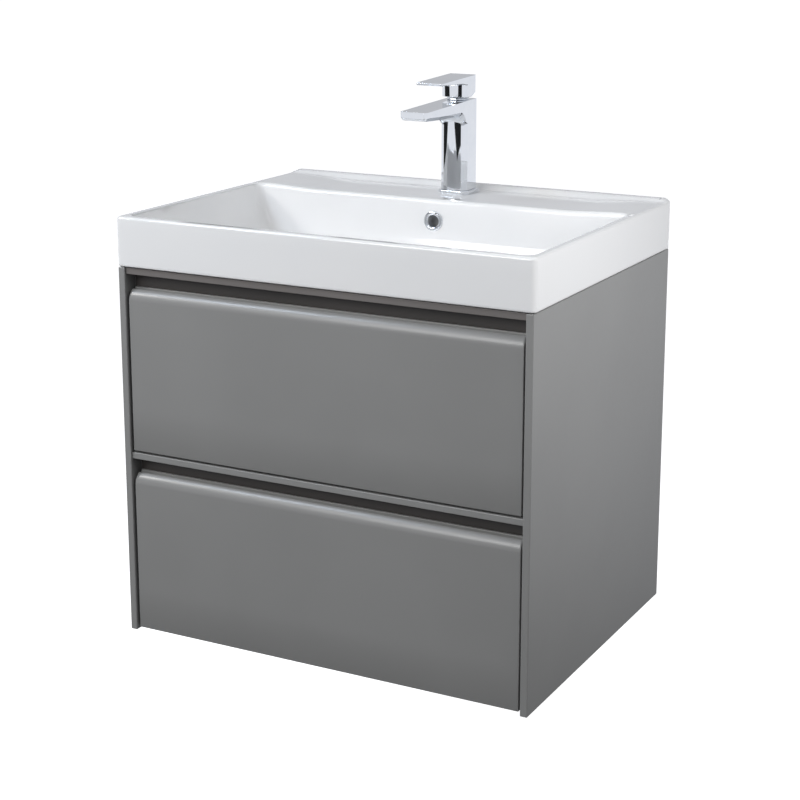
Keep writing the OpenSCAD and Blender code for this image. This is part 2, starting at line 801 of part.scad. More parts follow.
module tap_washer() {
  color(steel) translate([0, tap_y, deck_under_z - washer_t]) difference() {
    cylinder(r = washer_r, h = washer_t);
    block([-inlet_x - 8, -washer_r - 1, -1], [inlet_x + 8, 3, washer_t + 1]);
    translate([0, stud_y - tap_y, -1]) cylinder(r = stud_r + 0.1, h = washer_t + 2);
  }
}

module tap_nut() {
  color(steel) translate([0, stud_y, deck_under_z - washer_t - 10]) difference() {
    cylinder(r = 6.3, h = 10, $fn = 6);
    translate([0, 0, -1]) cylinder(r = stud_r + 0.1, h = 12, $fn = 64);
  }
}

// ---- Runners ----

// A rail's section: a web with two flanges, x from web_x towards open_x, over a height of 2 * half_h
module rail_section(web_x, open_x, half_h) {
  x0 = min(web_x, open_x);
  web_x0 = web_x < open_x ? web_x : web_x - rail_t;
  translate([web_x0, -half_h]) square([rail_t, 2 * half_h]);
  translate([x0, -half_h]) square([abs(open_x - web_x), rail_t]);
  translate([x0, half_h - rail_t]) square([abs(open_x - web_x), rail_t]);
}
// Sections are drawn from the side panel's inner face towards the drawer
module rail(s, z) {
  translate([s * inner_w / 2, runner_front_y + runner_l, z + runner_rise])
    rotate([90, 0, 0]) mirror([s > 0 ? 1 : 0, 0, 0]) linear_extrude(runner_l) children();
}

half_outer = runner_h / 2;
half_middle = half_outer - 4.5;
half_inner = half_middle - 4;

module outer_rail(s, z) {
  color(steel) difference() {
    rail(s, z) rail_section(0, 9.5, half_outer);
    rail_screw_shanks();
  }
}
module middle_rail(s, z) { color(steel) rail(s, z) rail_section(2.8, 10.2, half_middle); }
module inner_rail(s, z) { color(steel) rail(s, z) rail_section(runner_w, 4.9, half_inner); }

module upper_left_outer_rail() { outer_rail(-1, upper_box_z); }
module upper_left_middle_rail() { middle_rail(-1, upper_box_z); }
module upper_left_inner_rail() { inner_rail(-1, upper_box_z); }
module upper_right_outer_rail() { outer_rail(1, upper_box_z); }
module upper_right_middle_rail() { middle_rail(1, upper_box_z); }
module upper_right_inner_rail() { inner_rail(1, upper_box_z); }
module lower_left_outer_rail() { outer_rail(-1, lower_box_z); }
module lower_left_middle_rail() { middle_rail(-1, lower_box_z); }
module lower_left_inner_rail() { inner_rail(-1, lower_box_z); }
module lower_right_outer_rail() { outer_rail(1, lower_box_z); }
module lower_right_middle_rail() { middle_rail(1, lower_box_z); }
module lower_right_inner_rail() { inner_rail(1, lower_box_z); }

module runner_screws() {
  color(steel) {
    rail_screw_shanks();
    for (s = [-1, 1], z = runner_mid_z, i = [0:rail_screws - 1])
      rod_x(s * (inner_w / 2 - rail_t - screw_head_t / 2), rail_screw_y(i), z, screw_head_r, screw_head_t);
  }
}

// ---- Drawers ----

// A front from the side: depth behind its face against height, with the pull along its top edge
module front_profile() {
  nose_top = front_h - nose_drop;
  difference() {
    union() {
      square([front_t, nose_top - nose_r]);
      translate([nose_r, nose_top - nose_r]) circle(nose_r);
      translate([nose_r, nose_top - nose_r - 1]) square([groove_x - nose_r + 1, nose_r + 1]);
      translate([groove_x, nose_top - nose_r - 1]) square([front_t - groove_x, nose_r + 1]);
      translate([groove_x + groove_w, nose_top - 1]) square([front_t - groove_x - groove_w, nose_drop + 1]);
    }
    translate([groove_x + groove_w / 2, nose_top - groove_d + groove_w / 2]) circle(groove_w / 2);
    translate([groove_x, nose_top - groove_d + groove_w / 2]) square([groove_w, groove_d]);
  }
}
module drawer_front(z) {
  color(lacquer) translate([0, front_face_y, z]) along_x(front_w) front_profile();
}
module upper_front() { drawer_front(upper_front_z); }
module lower_front() { drawer_front(lower_front_z); }

module box_side(s, z, h) {
  x0 = s > 0 ? box_w / 2 - box_side_t : -box_w / 2;
  color(box_board) difference() {
    block([x0, front_back_y, z], [x0 + box_side_t, box_back_y, z + h]);
    block([-box_inner_w / 2 - bottom_inset, front_back_y - 1, z + bottom_inset],
          [box_inner_w / 2 + bottom_inset, box_back_y + 1, z + bottom_inset + box_bottom_t]);
  }
}
box_inner_w = box_w - 2 * box_side_t;

module upper_box_left() { box_side(-1, upper_box_z, upper_box_h); }
module upper_box_right() { box_side(1, upper_box_z, upper_box_h); }
module lower_box_left() { box_side(-1, lower_box_z, lower_box_h); }
module lower_box_right() { box_side(1, lower_box_z, lower_box_h); }

bottom_back_y = box_back_y - box_side_t;

module upper_bottom() {
  z = upper_box_z + bottom_inset;
  color(box_board) difference() {
    block([-box_inner_w / 2 - bottom_inset, front_back_y, z],
          [box_inner_w / 2 + bottom_inset, bottom_back_y, z + box_bottom_t]);
    block([-recess_half_w - recess_wall, recess_front_y - recess_wall, z - 1],
          [recess_half_w + recess_wall, 0, z + box_bottom_t + 1]);
  }
}
module lower_bottom() {
  z = lower_box_z + bottom_inset;
  color(box_board) block([-box_inner_w / 2 - bottom_inset, front_back_y, z],
                         [box_inner_w / 2 + bottom_inset, bottom_back_y, z + box_bottom_t]);
}

module upper_back() {
  color(box_board) for (s = [-1, 1]) {
    x0 = s > 0 ? recess_half_w + recess_wall : -box_inner_w / 2;
    block([x0, bottom_back_y, upper_box_z],
          [x0 + box_inner_w / 2 - recess_half_w - recess_wall, box_back_y, upper_box_z + upper_box_h]);
  }
}
module lower_back() {
  color(box_board) block([-box_inner_w / 2, bottom_back_y, lower_box_z],
                         [box_inner_w / 2, box_back_y, lower_box_z + lower_box_h]);
}

// The U-shaped wall that lets the drawer pass round the trap
module upper_recess() {
  color(plastic_white) difference() {
    rounded_plate(-recess_half_w - recess_wall, recess_front_y - recess_wall, recess_half_w + recess_wall,
                  box_back_y + 20, 6, upper_box_z, upper_box_h);
    block([-recess_half_w, recess_front_y, upper_box_z - 1],
          [recess_half_w, box_back_y + 40, upper_box_z + upper_box_h + 1]);
    block([-recess_half_w - recess_wall - 1, box_back_y, upper_box_z - 1],
          [recess_half_w + recess_wall + 1, box_back_y + 40, upper_box_z + upper_box_h + 1]);
  }
}

bracket_leg = 30;
bracket_t = 2;
bracket_h = 60;
// Angle brackets that fasten a front to its box, inside the box's front corners
module front_brackets(z) {
  color(steel) for (s = [-1, 1]) {
    x_in = s * box_inner_w / 2;
    x_leg = x_in - s * bracket_t;
    x_arm = x_in - s * bracket_leg;
    block([min(x_in, x_leg), front_back_y, z],
          [max(x_in, x_leg), front_back_y + bracket_leg, z + bracket_h]);
    block([min(x_in, x_arm), front_back_y, z],
          [max(x_in, x_arm), front_back_y + bracket_t, z + bracket_h]);
  }
}
module upper_brackets() { front_brackets(upper_box_z + bottom_inset + box_bottom_t + 14); }
module lower_brackets() { front_brackets(lower_box_z + bottom_inset + box_bottom_t + 14); }

// ---- Assembly ----

side_left();
side_right();
bottom_panel();
top_rail();
mid_rail();
hanging_rail();
lower_back_rail();
cam_locks();
cam_bolts();
hangers();
hanger_hooks();
wall_plates();
basin();
overflow_ring();
waste_body();
waste_seal();
waste_nut();
waste_plug();
trap_head();
trap_dip_tube();
trap_cup();
trap_nuts();
trap_outlet_pipe();
tap_base();
tap_body();
tap_aerator();
tap_cartridge();
tap_collar();
tap_stem();
tap_pivot_pin();
tap_lever();
tap_stud();
tap_washer();
tap_nut();
upper_left_outer_rail();
upper_left_middle_rail();
upper_left_inner_rail();
upper_right_outer_rail();
upper_right_middle_rail();
upper_right_inner_rail();
lower_left_outer_rail();
lower_left_middle_rail();
lower_left_inner_rail();
lower_right_outer_rail();
lower_right_middle_rail();
lower_right_inner_rail();
runner_screws();
upper_front();
upper_box_left();
upper_box_right();
upper_back();
upper_bottom();
upper_recess();
upper_brackets();
lower_front();
lower_box_left();
lower_box_right();
lower_back();
lower_bottom();
lower_brackets();
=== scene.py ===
"""Wall-hung bathroom vanity: satin lacquered cabinet, glazed one-piece basin, chrome single-lever mixer."""
import json
import math

import bmesh
import bpy
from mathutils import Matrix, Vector


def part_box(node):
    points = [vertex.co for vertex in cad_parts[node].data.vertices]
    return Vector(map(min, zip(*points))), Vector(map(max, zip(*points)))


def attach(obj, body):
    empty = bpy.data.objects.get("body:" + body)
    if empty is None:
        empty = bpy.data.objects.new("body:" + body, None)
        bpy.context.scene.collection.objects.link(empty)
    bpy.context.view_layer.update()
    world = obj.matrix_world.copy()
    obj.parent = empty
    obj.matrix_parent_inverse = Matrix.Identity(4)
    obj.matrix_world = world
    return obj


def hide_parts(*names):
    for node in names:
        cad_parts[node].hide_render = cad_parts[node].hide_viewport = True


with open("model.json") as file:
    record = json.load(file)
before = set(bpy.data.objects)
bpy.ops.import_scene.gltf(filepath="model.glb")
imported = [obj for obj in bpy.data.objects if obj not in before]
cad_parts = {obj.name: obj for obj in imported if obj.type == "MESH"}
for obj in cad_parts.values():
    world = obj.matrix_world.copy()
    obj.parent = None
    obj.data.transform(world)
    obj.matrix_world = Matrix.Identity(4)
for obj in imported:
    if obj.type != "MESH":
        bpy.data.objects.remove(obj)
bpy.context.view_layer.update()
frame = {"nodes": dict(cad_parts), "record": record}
nodes = frame["nodes"]
# Shapes are written in millimetres, in the cabinet's own frame.
MM = 0.001
# Points closer than this, in millimetres, are one point.
SAME_POINT, SAME_CAD_POINT = 0.002, 0.004


# ---- Nodes, colours and meshes ----

def hex_linear(code):
    """An sRGB hex colour as linear RGBA."""
    values = [int(code[i:i + 2], 16) / 255 for i in (1, 3, 5)]
    return [v / 12.92 if v <= 0.04045 else ((v + 0.055) / 1.055) ** 2.4 for v in values] + [1.0]


def add(tree, kind, inputs=None, **settings):
    """Adds one node, with its settings, and its inputs as values or as links from other sockets."""
    node = tree.nodes.new(kind)
    for key, value in settings.items():
        setattr(node, key, value)
    for key, value in (inputs or {}).items():
        if isinstance(value, bpy.types.NodeSocket):
            tree.links.new(value, node.inputs[key])
        else:
            node.inputs[key].default_value = value
    return node


def per_mm(size):
    """The texture scale whose features are that many millimetres across."""
    return 1000.0 / size


def finish_named(name, **constants):
    """A material with one shader. Returns the material, its tree, the shader and the piece's own coordinates."""
    material = bpy.data.materials.new(name)
    material.use_nodes = True
    tree = material.node_tree
    tree.nodes.clear()
    shader = add(tree, "ShaderNodeBsdfPrincipled", {k.replace("_", " "): v for k, v in constants.items()})
    add(tree, "ShaderNodeOutputMaterial", {"Surface": shader.outputs[0]})
    return material, tree, shader, add(tree, "ShaderNodeTexCoord").outputs["Object"]


def tones(ramp, dark, light, start=0.0, end=1.0):
    """Sets a colour ramp's two stops, and returns its colour."""
    for stop, code, position in zip(ramp.color_ramp.elements, (dark, light), (start, end)):
        stop.color, stop.position = hex_linear(code), position
    return ramp.outputs["Color"]


def coat(tree, shader, colour, gloss, relief):
    """Links a finish's colour, roughness and relief to its shader."""
    tree.links.new(colour, shader.inputs["Base Color"])
    tree.links.new(gloss.outputs["Result"], shader.inputs["Roughness"])
    tree.links.new(relief.outputs["Normal"], shader.inputs["Normal"])


def mesh_from(name, points, faces):
    """An object from points in millimetres, with doubles merged and its faces pointing outwards."""
    mesh = bpy.data.meshes.new(name)
    mesh.from_pydata([[c * MM for c in p] for p in points], [], faces)
    bm = bmesh.new()
    bm.from_mesh(mesh)
    bmesh.ops.remove_doubles(bm, verts=bm.verts, dist=SAME_POINT * MM)
    bmesh.ops.recalc_face_normals(bm, faces=bm.faces)
    bm.to_mesh(mesh)
    bm.free()
    piece = bpy.data.objects.new(name, mesh)
    bpy.context.scene.collection.objects.link(piece)
    return piece


def bake(piece):
    """Applies every modifier of a piece."""
    bpy.context.view_layer.update()
    made = bpy.data.meshes.new_from_object(piece.evaluated_get(bpy.context.evaluated_depsgraph_get()))
    piece.modifiers.clear()
    piece.data = made
    return piece


def bevelled(piece, width, segments=3, angle=30):
    """Rounds a piece's sharp edges to a width in millimetres, and keeps its flat faces flat."""
    piece.data.shade_smooth()
    arris = piece.modifiers.new("arris", "BEVEL")
    arris.width, arris.segments = width * MM, segments
    arris.limit_method, arris.angle_limit = "ANGLE", math.radians(angle)
    arris.harden_normals = True
    arris.miter_outer = "MITER_ARC"
    flat = piece.modifiers.new("flat faces", "WEIGHTED_NORMAL")
    flat.mode, flat.weight, flat.keep_sharp = "FACE_AREA", 100, True
    return bake(piece)


def carve(piece, cutter, operation="DIFFERENCE"):
    """Cuts one closed piece from another, or joins them, and removes the cutter."""
    cut = piece.modifiers.new("cut", "BOOLEAN")
    cut.operation, cut.object, cut.solver = operation, cutter, "EXACT"
    bake(piece)
    bpy.data.objects.remove(cutter)
    return piece


def placed(piece, material, body, slot, *replaced, smooth=None):
    """Gives a piece its finish, ties it to its body, and hides the nodes that it stands for."""
    piece.data.materials.clear()
    piece.data.materials.append(material)
    if smooth is not None:
        piece.data.shade_smooth()
        piece.data.set_sharp_from_angle(angle=math.radians(smooth))
    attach(piece, body)
    if replaced:
        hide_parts(*replaced)


def strip_faces(start_a, start_b, count, closed):
    """Quads between two rows of points whose numbers follow on from two starts."""
    last = count if closed else count - 1
    return [[start_a + i, start_a + (i + 1) % count, start_b + (i + 1) % count, start_b + i] for i in range(last)]


def loft(name, sections):
    """A skin over closed sections with the same number of points, capped at both ends."""
    n = len(sections[0])
    faces = [list(range(n)), list(range((len(sections) - 1) * n, len(sections) * n))]
    for k in range(len(sections) - 1):
        faces += strip_faces(k * n, (k + 1) * n, n, True)
    return mesh_from(name, [p for section in sections for p in section], faces)


def prism(name, outline, low, high, axis="Z"):
    """A closed outline carried along an axis: (x, y) along Z, (y, z) along X, or (x, z) along Y."""
    put = {"Z": lambda a, b, c: (a, b, c), "X": lambda a, b, c: (c, a, b), "Y": lambda a, b, c: (a, c, b)}[axis]
    n = len(outline)
    points = [put(a, b, c) for c in (low, high) for a, b in outline]
    faces = [list(range(n)), list(range(n, 2 * n))]
    faces += [[i, (i + 1) % n, n + (i + 1) % n, n + i] for i in range(n)]
    return mesh_from(name, points, faces)


def lathe(name, profile, centre, axis="Z", steps=64):
    """A profile of (radius, height) turned about an axis through centre. A closed profile makes a ring."""
    turn = {"Z": lambda r, h, c, s: (r * c, r * s, h), "Y": lambda r, h, c, s: (r * c, h, r * s)}[axis]
    points, faces, n = [], [], len(profile)
    for i in range(steps):
        c, s = math.cos(math.tau * i / steps), math.sin(math.tau * i / steps)
        points += [[a + b for a, b in zip(centre, turn(r, h, c, s))] for r, h in profile]
    for i in range(steps):
        here, there = i * n, (i + 1) % steps * n
        faces += [[here + k, here + (k + 1) % n, there + (k + 1) % n, there + k] for k in range(n)]
    return mesh_from(name, points, faces)


def hole(name, r, low, high, centre, axis="Z", steps=48):
    """A round cutter between two heights along an axis."""
    return lathe(name, [(0, low), (r, low), (r, high), (0, high)], centre, axis, steps)


def arc(cy, cz, r, start, end, steps):
    """Points of a circular arc in degrees, ends included."""
    angles = [math.radians(start + (end - start) * i / steps) for i in range(steps + 1)]
    return [(cy + r * math.cos(a), cz + r * math.sin(a)) for a in angles]


def ease(t):
    """A soft step from 0 to 1."""
    t = min(1.0, max(0.0, t))
    return t * t * (3 - 2 * t)


def edges_mm(node):
    """A node's lowest and highest corner in millimetres."""
    low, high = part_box(node)
    return [v / MM for v in low], [v / MM for v in high]


# ---- Finishes ----

def lacquer(name, light, dark, rough):
    # Sprayed satin polyurethane lacquer on MDF: one even grey, a broad soft sheen, and a faint
    # orange peel that only breaks up the highlight.
    material, tree, shader, place = finish_named(name, IOR=1.5)
    drift = add(tree, "ShaderNodeTexNoise", {"Vector": place, "Scale": per_mm(160), "Detail": 2.0})
    grey = tones(add(tree, "ShaderNodeValToRGB", {"Fac": drift.outputs["Fac"]}), dark, light, 0.35, 0.65)
    mist = add(tree, "ShaderNodeTexNoise", {"Vector": place, "Scale": per_mm(9), "Detail": 3.0})
    sheen = add(tree, "ShaderNodeMapRange", {"Value": mist.outputs["Fac"],
                                             "To Min": rough - 0.03, "To Max": rough + 0.03})
    # Orange peel is about 2 mm from crest to crest.
    peel = add(tree, "ShaderNodeTexNoise", {"Vector": place, "Scale": per_mm(2), "Detail": 1.0})
    bump = add(tree, "ShaderNodeBump", {"Height": peel.outputs["Fac"], "Strength": 0.06, "Distance": 0.0002})
    coat(tree, shader, grey, sheen, bump)
    return material


def melamine():
    # Melamine faced chipboard in a plain grey decor: a printed paper with fine darker flecks under
    # a dry, slightly pearled resin skin.
    material, tree, shader, place = finish_named("melamine_faced_board", IOR=1.5)
    fleck = add(tree, "ShaderNodeTexNoise", {"Vector": place, "Scale": per_mm(3.5), "Detail": 4.0,
                                             "Roughness": 0.7})
    decor = tones(add(tree, "ShaderNodeValToRGB", {"Fac": fleck.outputs["Fac"]}), "#7D7E80", "#8E8F90", 0.3, 0.6)
    # The pearl texture is about 0.8 mm and is drawn at 1.5 mm so that it shows.
    pearl = add(tree, "ShaderNodeTexVoronoi", {"Vector": place, "Scale": per_mm(1.5)})
    bump = add(tree, "ShaderNodeBump", {"Height": pearl.outputs["Distance"], "Strength": 0.15,
                                        "Distance": 0.0001})
    sheen = add(tree, "ShaderNodeMapRange", {"Value": fleck.outputs["Fac"], "To Min": 0.46, "To Max": 0.58})
    coat(tree, shader, decor, sheen, bump)
    return material


def glazed_china():
    # Vitreous china under a fired white glaze: a bright cool white with a sharp wet gloss that the
    # slow waves of the cast body bend a little.
    material, tree, shader, place = finish_named("glazed_vitreous_china", IOR=1.52, Coat_Weight=0.6,
                                                 Coat_Roughness=0.04, Coat_IOR=1.5)
    cast = add(tree, "ShaderNodeTexNoise", {"Vector": place, "Scale": per_mm(90), "Detail": 1.0})
    white = tones(add(tree, "ShaderNodeValToRGB", {"Fac": cast.outputs["Fac"]}), "#DEDFE0", "#E2E2E2")
    glaze = add(tree, "ShaderNodeMapRange", {"Value": cast.outputs["Fac"], "To Min": 0.07, "To Max": 0.13})
    wave = add(tree, "ShaderNodeTexNoise", {"Vector": place, "Scale": per_mm(35), "Detail": 0.0})
    bump = add(tree, "ShaderNodeBump", {"Height": wave.outputs["Fac"], "Strength": 0.10, "Distance": 0.0006})
    coat(tree, shader, white, glaze, bump)
    return material


def polished_chrome():
    # Bright chrome plate on cast brass: a near mirror with a faint blue cast and the very slight
    # unevenness that hand polishing leaves.
    material, tree, shader, place = finish_named("polished_chrome_plate", Metallic=1.0)
    haze = add(tree, "ShaderNodeTexNoise", {"Vector": place, "Scale": per_mm(14), "Detail": 3.0})
    plate = tones(add(tree, "ShaderNodeValToRGB", {"Fac": haze.outputs["Fac"]}), "#E6EAEF", "#F0F2F5")
    gloss = add(tree, "ShaderNodeMapRange", {"Value": haze.outputs["Fac"], "To Min": 0.02, "To Max": 0.06})
    polish = add(tree, "ShaderNodeTexNoise", {"Vector": place, "Scale": per_mm(16), "Detail": 0.0})
    bump = add(tree, "ShaderNodeBump", {"Height": polish.outputs["Fac"], "Strength": 0.05, "Distance": 0.0002})
    coat(tree, shader, plate, gloss, bump)
    return material


def zinc_plate():
    # Zinc plated and passivated mild steel: a grey metal with rolling streaks along its length and
    # faint warm and blue patches.
    material, tree, shader, place = finish_named("zinc_plated_steel", Metallic=1.0)
    patch = add(tree, "ShaderNodeTexNoise", {"Vector": place, "Scale": per_mm(22), "Detail": 2.0})
    plate = tones(add(tree, "ShaderNodeValToRGB", {"Fac": patch.outputs["Fac"]}), "#A9B0B6", "#C2C0B6")
    long_way = add(tree, "ShaderNodeMapping", {"Vector": place, "Scale": (1.0, 0.04, 1.0)})
    # Rolling lines are finer than 0.5 mm and are drawn at 0.8 mm.
    streak = add(tree, "ShaderNodeTexNoise", {"Vector": long_way.outputs["Vector"], "Scale": per_mm(0.8),
                                              "Detail": 2.0})
    rough = add(tree, "ShaderNodeMapRange", {"Value": streak.outputs["Fac"], "To Min": 0.28, "To Max": 0.44})
    bump = add(tree, "ShaderNodeBump", {"Height": streak.outputs["Fac"], "Strength": 0.1, "Distance": 0.00005})
    coat(tree, shader, plate, rough, bump)
    return material


def moulded(name, light, dark, rough, grain_mm, depth):
    # An injection moulded part: one even colour, a fine spark-eroded grain and a soft low sheen.
    material, tree, shader, place = finish_named(name, IOR=1.49)
    grain = add(tree, "ShaderNodeTexNoise", {"Vector": place, "Scale": per_mm(grain_mm), "Detail": 2.0})
    body = tones(add(tree, "ShaderNodeValToRGB", {"Fac": grain.outputs["Fac"]}), dark, light)
    sheen = add(tree, "ShaderNodeMapRange", {"Value": grain.outputs["Fac"],
                                             "To Min": rough - 0.05, "To Max": rough + 0.05})
    bump = add(tree, "ShaderNodeBump", {"Height": grain.outputs["Fac"], "Strength": 0.2, "Distance": depth})
    coat(tree, shader, body, sheen, bump)
    return material


cabinet_grey = lacquer("satin_lacquer_anthracite", "#848483", "#818180", 0.30)
# The channel's wall behind the finger gaps is drawn near black: painted shade, for the shade deep in the gaps.
channel_painted_shade = lacquer("satin_lacquer_painted_channel_shade", "#403C3A", "#393634", 0.5)
# The top strip's grey is darker than the cabinet's lacquer: painted shade, for the shade under the basin's edge.
strip_painted_shade = lacquer("satin_lacquer_strip_painted_shade", "#6C6866", "#686462", 0.36)
board_grey = melamine()
china = glazed_china()
chrome = polished_chrome()
zinc = zinc_plate()
# Glass filled polypropylene: a milky off-white.
plastic = moulded("moulded_polypropylene_white", "#ECECE9", "#E4E4E1", 0.42, 0.9, 0.00008)
# EPDM sealing rubber: near black, dry, with a bloom of talc.
rubber = moulded("epdm_sealing_rubber", "#2B2B2C", "#1C1C1D", 0.75, 0.7, 0.00010)

# ---- Basin ----

# Steps along each side, round each corner, along the front or the back, and over a rolled edge.
SIDE_STEPS, CORNER_STEPS, FRONT_STEPS, ROLL_STEPS = 14, 8, 40, 8
# A ring's points before this one lie along the right side, the front and the left side.
BACK_START = 2 * SIDE_STEPS + FRONT_STEPS + 2 * CORNER_STEPS
# The rim's and the tap deck's heights over the boards that carry the basin.
RIM_RISE, DECK_RISE = 66, 63
# The rim's width at the sides and at the front, where the bowl ends at the back, and its corner radius.
SIDE_RIM, FRONT_RIM, BOWL_BACK_Y, EDGE_R = 12, 14, -130, 12
# Radii of the rolled edges of the rim, the deck and the outside, and of the corners in plan.
RIM_ROLL, DECK_ROLL, OUTER_ROLL, CORNER_R = 3.2, 6.5, 4.0, 7.5
# Half width, front, back, corner radius and height of each level of the bowl, from its edge down.
BOWL_LEVELS = ((287.4, -445.5, -130.6, 12.5, 562), (286.4, -442, -131.4, 13.5, 548), (284.6, -437, -132.6, 15, 535),
               (281.8, -430, -134.4, 18, 522), (277.6, -419, -137.2, 22, 510.5), (272.6, -409.5, -141.4, 27, 500),
               (265.5, -400, -147.5, 34, 490.5), (255, -389.5, -157, 44, 482.5), (239, -376, -171, 55, 477),
               (214, -360, -190, 60, 473.4), (172, -343, -213, 58, 470.9), (120, -328, -243, 42, 469))
# The same for the outside of the bowl between the boards.
SHELL_LEVELS = ((277.4, -414.5, -134, 32, 497), (270.5, -405.5, -141, 39, 486), (260, -395, -150.5, 49, 477),
                (244, -381.5, -164.5, 60, 471.3), (219, -365.5, -183.5, 65, 467.6), (176, -348, -207, 63, 465),
                (124, -333, -237, 47, 463))
# Radius and height of each level of the waste's seat, and of the boss below it and the hole back up.
SEAT_LEVELS = ((44, 467.4), (36, 466.3), (30, 466), (23.4, 466), (22.5, 465.1))
BOSS_LEVELS = ((48, 461.4), (38, 460), (36.5, 457), (36.5, 431), (35.5, 430), (23.5, 430), (22.5, 431), (22.5, 465.1))
# The deck's slope up to the rim's level: how far from the middle it starts, and its length.
SLOPE_START, SLOPE_RUN = 190, 85
# The upstand along the wall: where it starts to rise, the depth of its rise, and its run-out at each end.
UPSTAND_Y, UPSTAND_RUN, UPSTAND_END = -27, 15, 10
# The deck's rays draw in by this share on their way back to this line.
DECK_DRAW, DECK_FLAT_Y = 0.011, -30
UPSTAND_ROWS = (-27, -24.5, -22, -19.5, -17)
BACK_ROWS = (-14, -12, -10, -8, -6, -OUTER_ROLL)
# Heights down the apron, the radius of its foot, and how far its back stands off the wall at the foot.
APRON_ROWS, FOOT_R, FOOT_OFF, FOOT_OFF_TOP, FOOT_OFF_RUN = (560, 545, 530, 526, 522, 518, 514), 1.6, 7, 530, 19
TAP_Y, TAP_HOLE_R = -57.0, 17.5
OVERFLOW_Z, OVERFLOW_R = 543, 10
WALL_BOLT_X, WALL_BOLT_Z, WALL_BOLT_R = 140, 540, 7
# Half widths of the overflow's duct and of the way inside it.
DUCT_HALF, WAY_HALF = 26, 19
# The hollow under the deck: its walls at the sides, its front and back, and the china left above it.
HOLLOW_WALL, HOLLOW_FRONT_Y, HOLLOW_BACK_Y, DECK_THICK = 14, -120, -12, 10


def ring(half_w, y0, y1, r, z):
    """A rounded rectangle from the right side's back end, forward and round. Gives [x, y, z, nx, ny] points."""
    out = []
    for (ax, ay), (bx, by), (cx, cy), a0, steps, n in (
            ((half_w, y1 - r), (half_w, y0 + r), (half_w - r, y0 + r), 0, SIDE_STEPS, (1, 0)),
            ((half_w - r, y0), (r - half_w, y0), (r - half_w, y0 + r), -90, FRONT_STEPS, (0, -1)),
            ((-half_w, y0 + r), (-half_w, y1 - r), (r - half_w, y1 - r), 180, SIDE_STEPS, (-1, 0)),
            ((r - half_w, y1), (half_w - r, y1), (half_w - r, y1 - r), 90, FRONT_STEPS, (0, 1))):
        out += [[ax + (bx - ax) * i / steps, ay + (by - ay) * i / steps, z, *n] for i in range(steps)]
        for i in range(CORNER_STEPS):
            a = math.radians(a0 - 90 * i / CORNER_STEPS)
            out.append([cx + r * math.cos(a), cy + r * math.sin(a), z, math.cos(a), math.sin(a)])
    return out


def disc(like, centre_y, r, z):
    """A circle about the waste, with its points in the directions of another ring's."""
    out = []
    for x, y, *_ in like:
        d = math.hypot(x, y - centre_y)
        out.append([r * x / d, centre_y + r * (y - centre_y) / d, z, 0, 0])
    return out


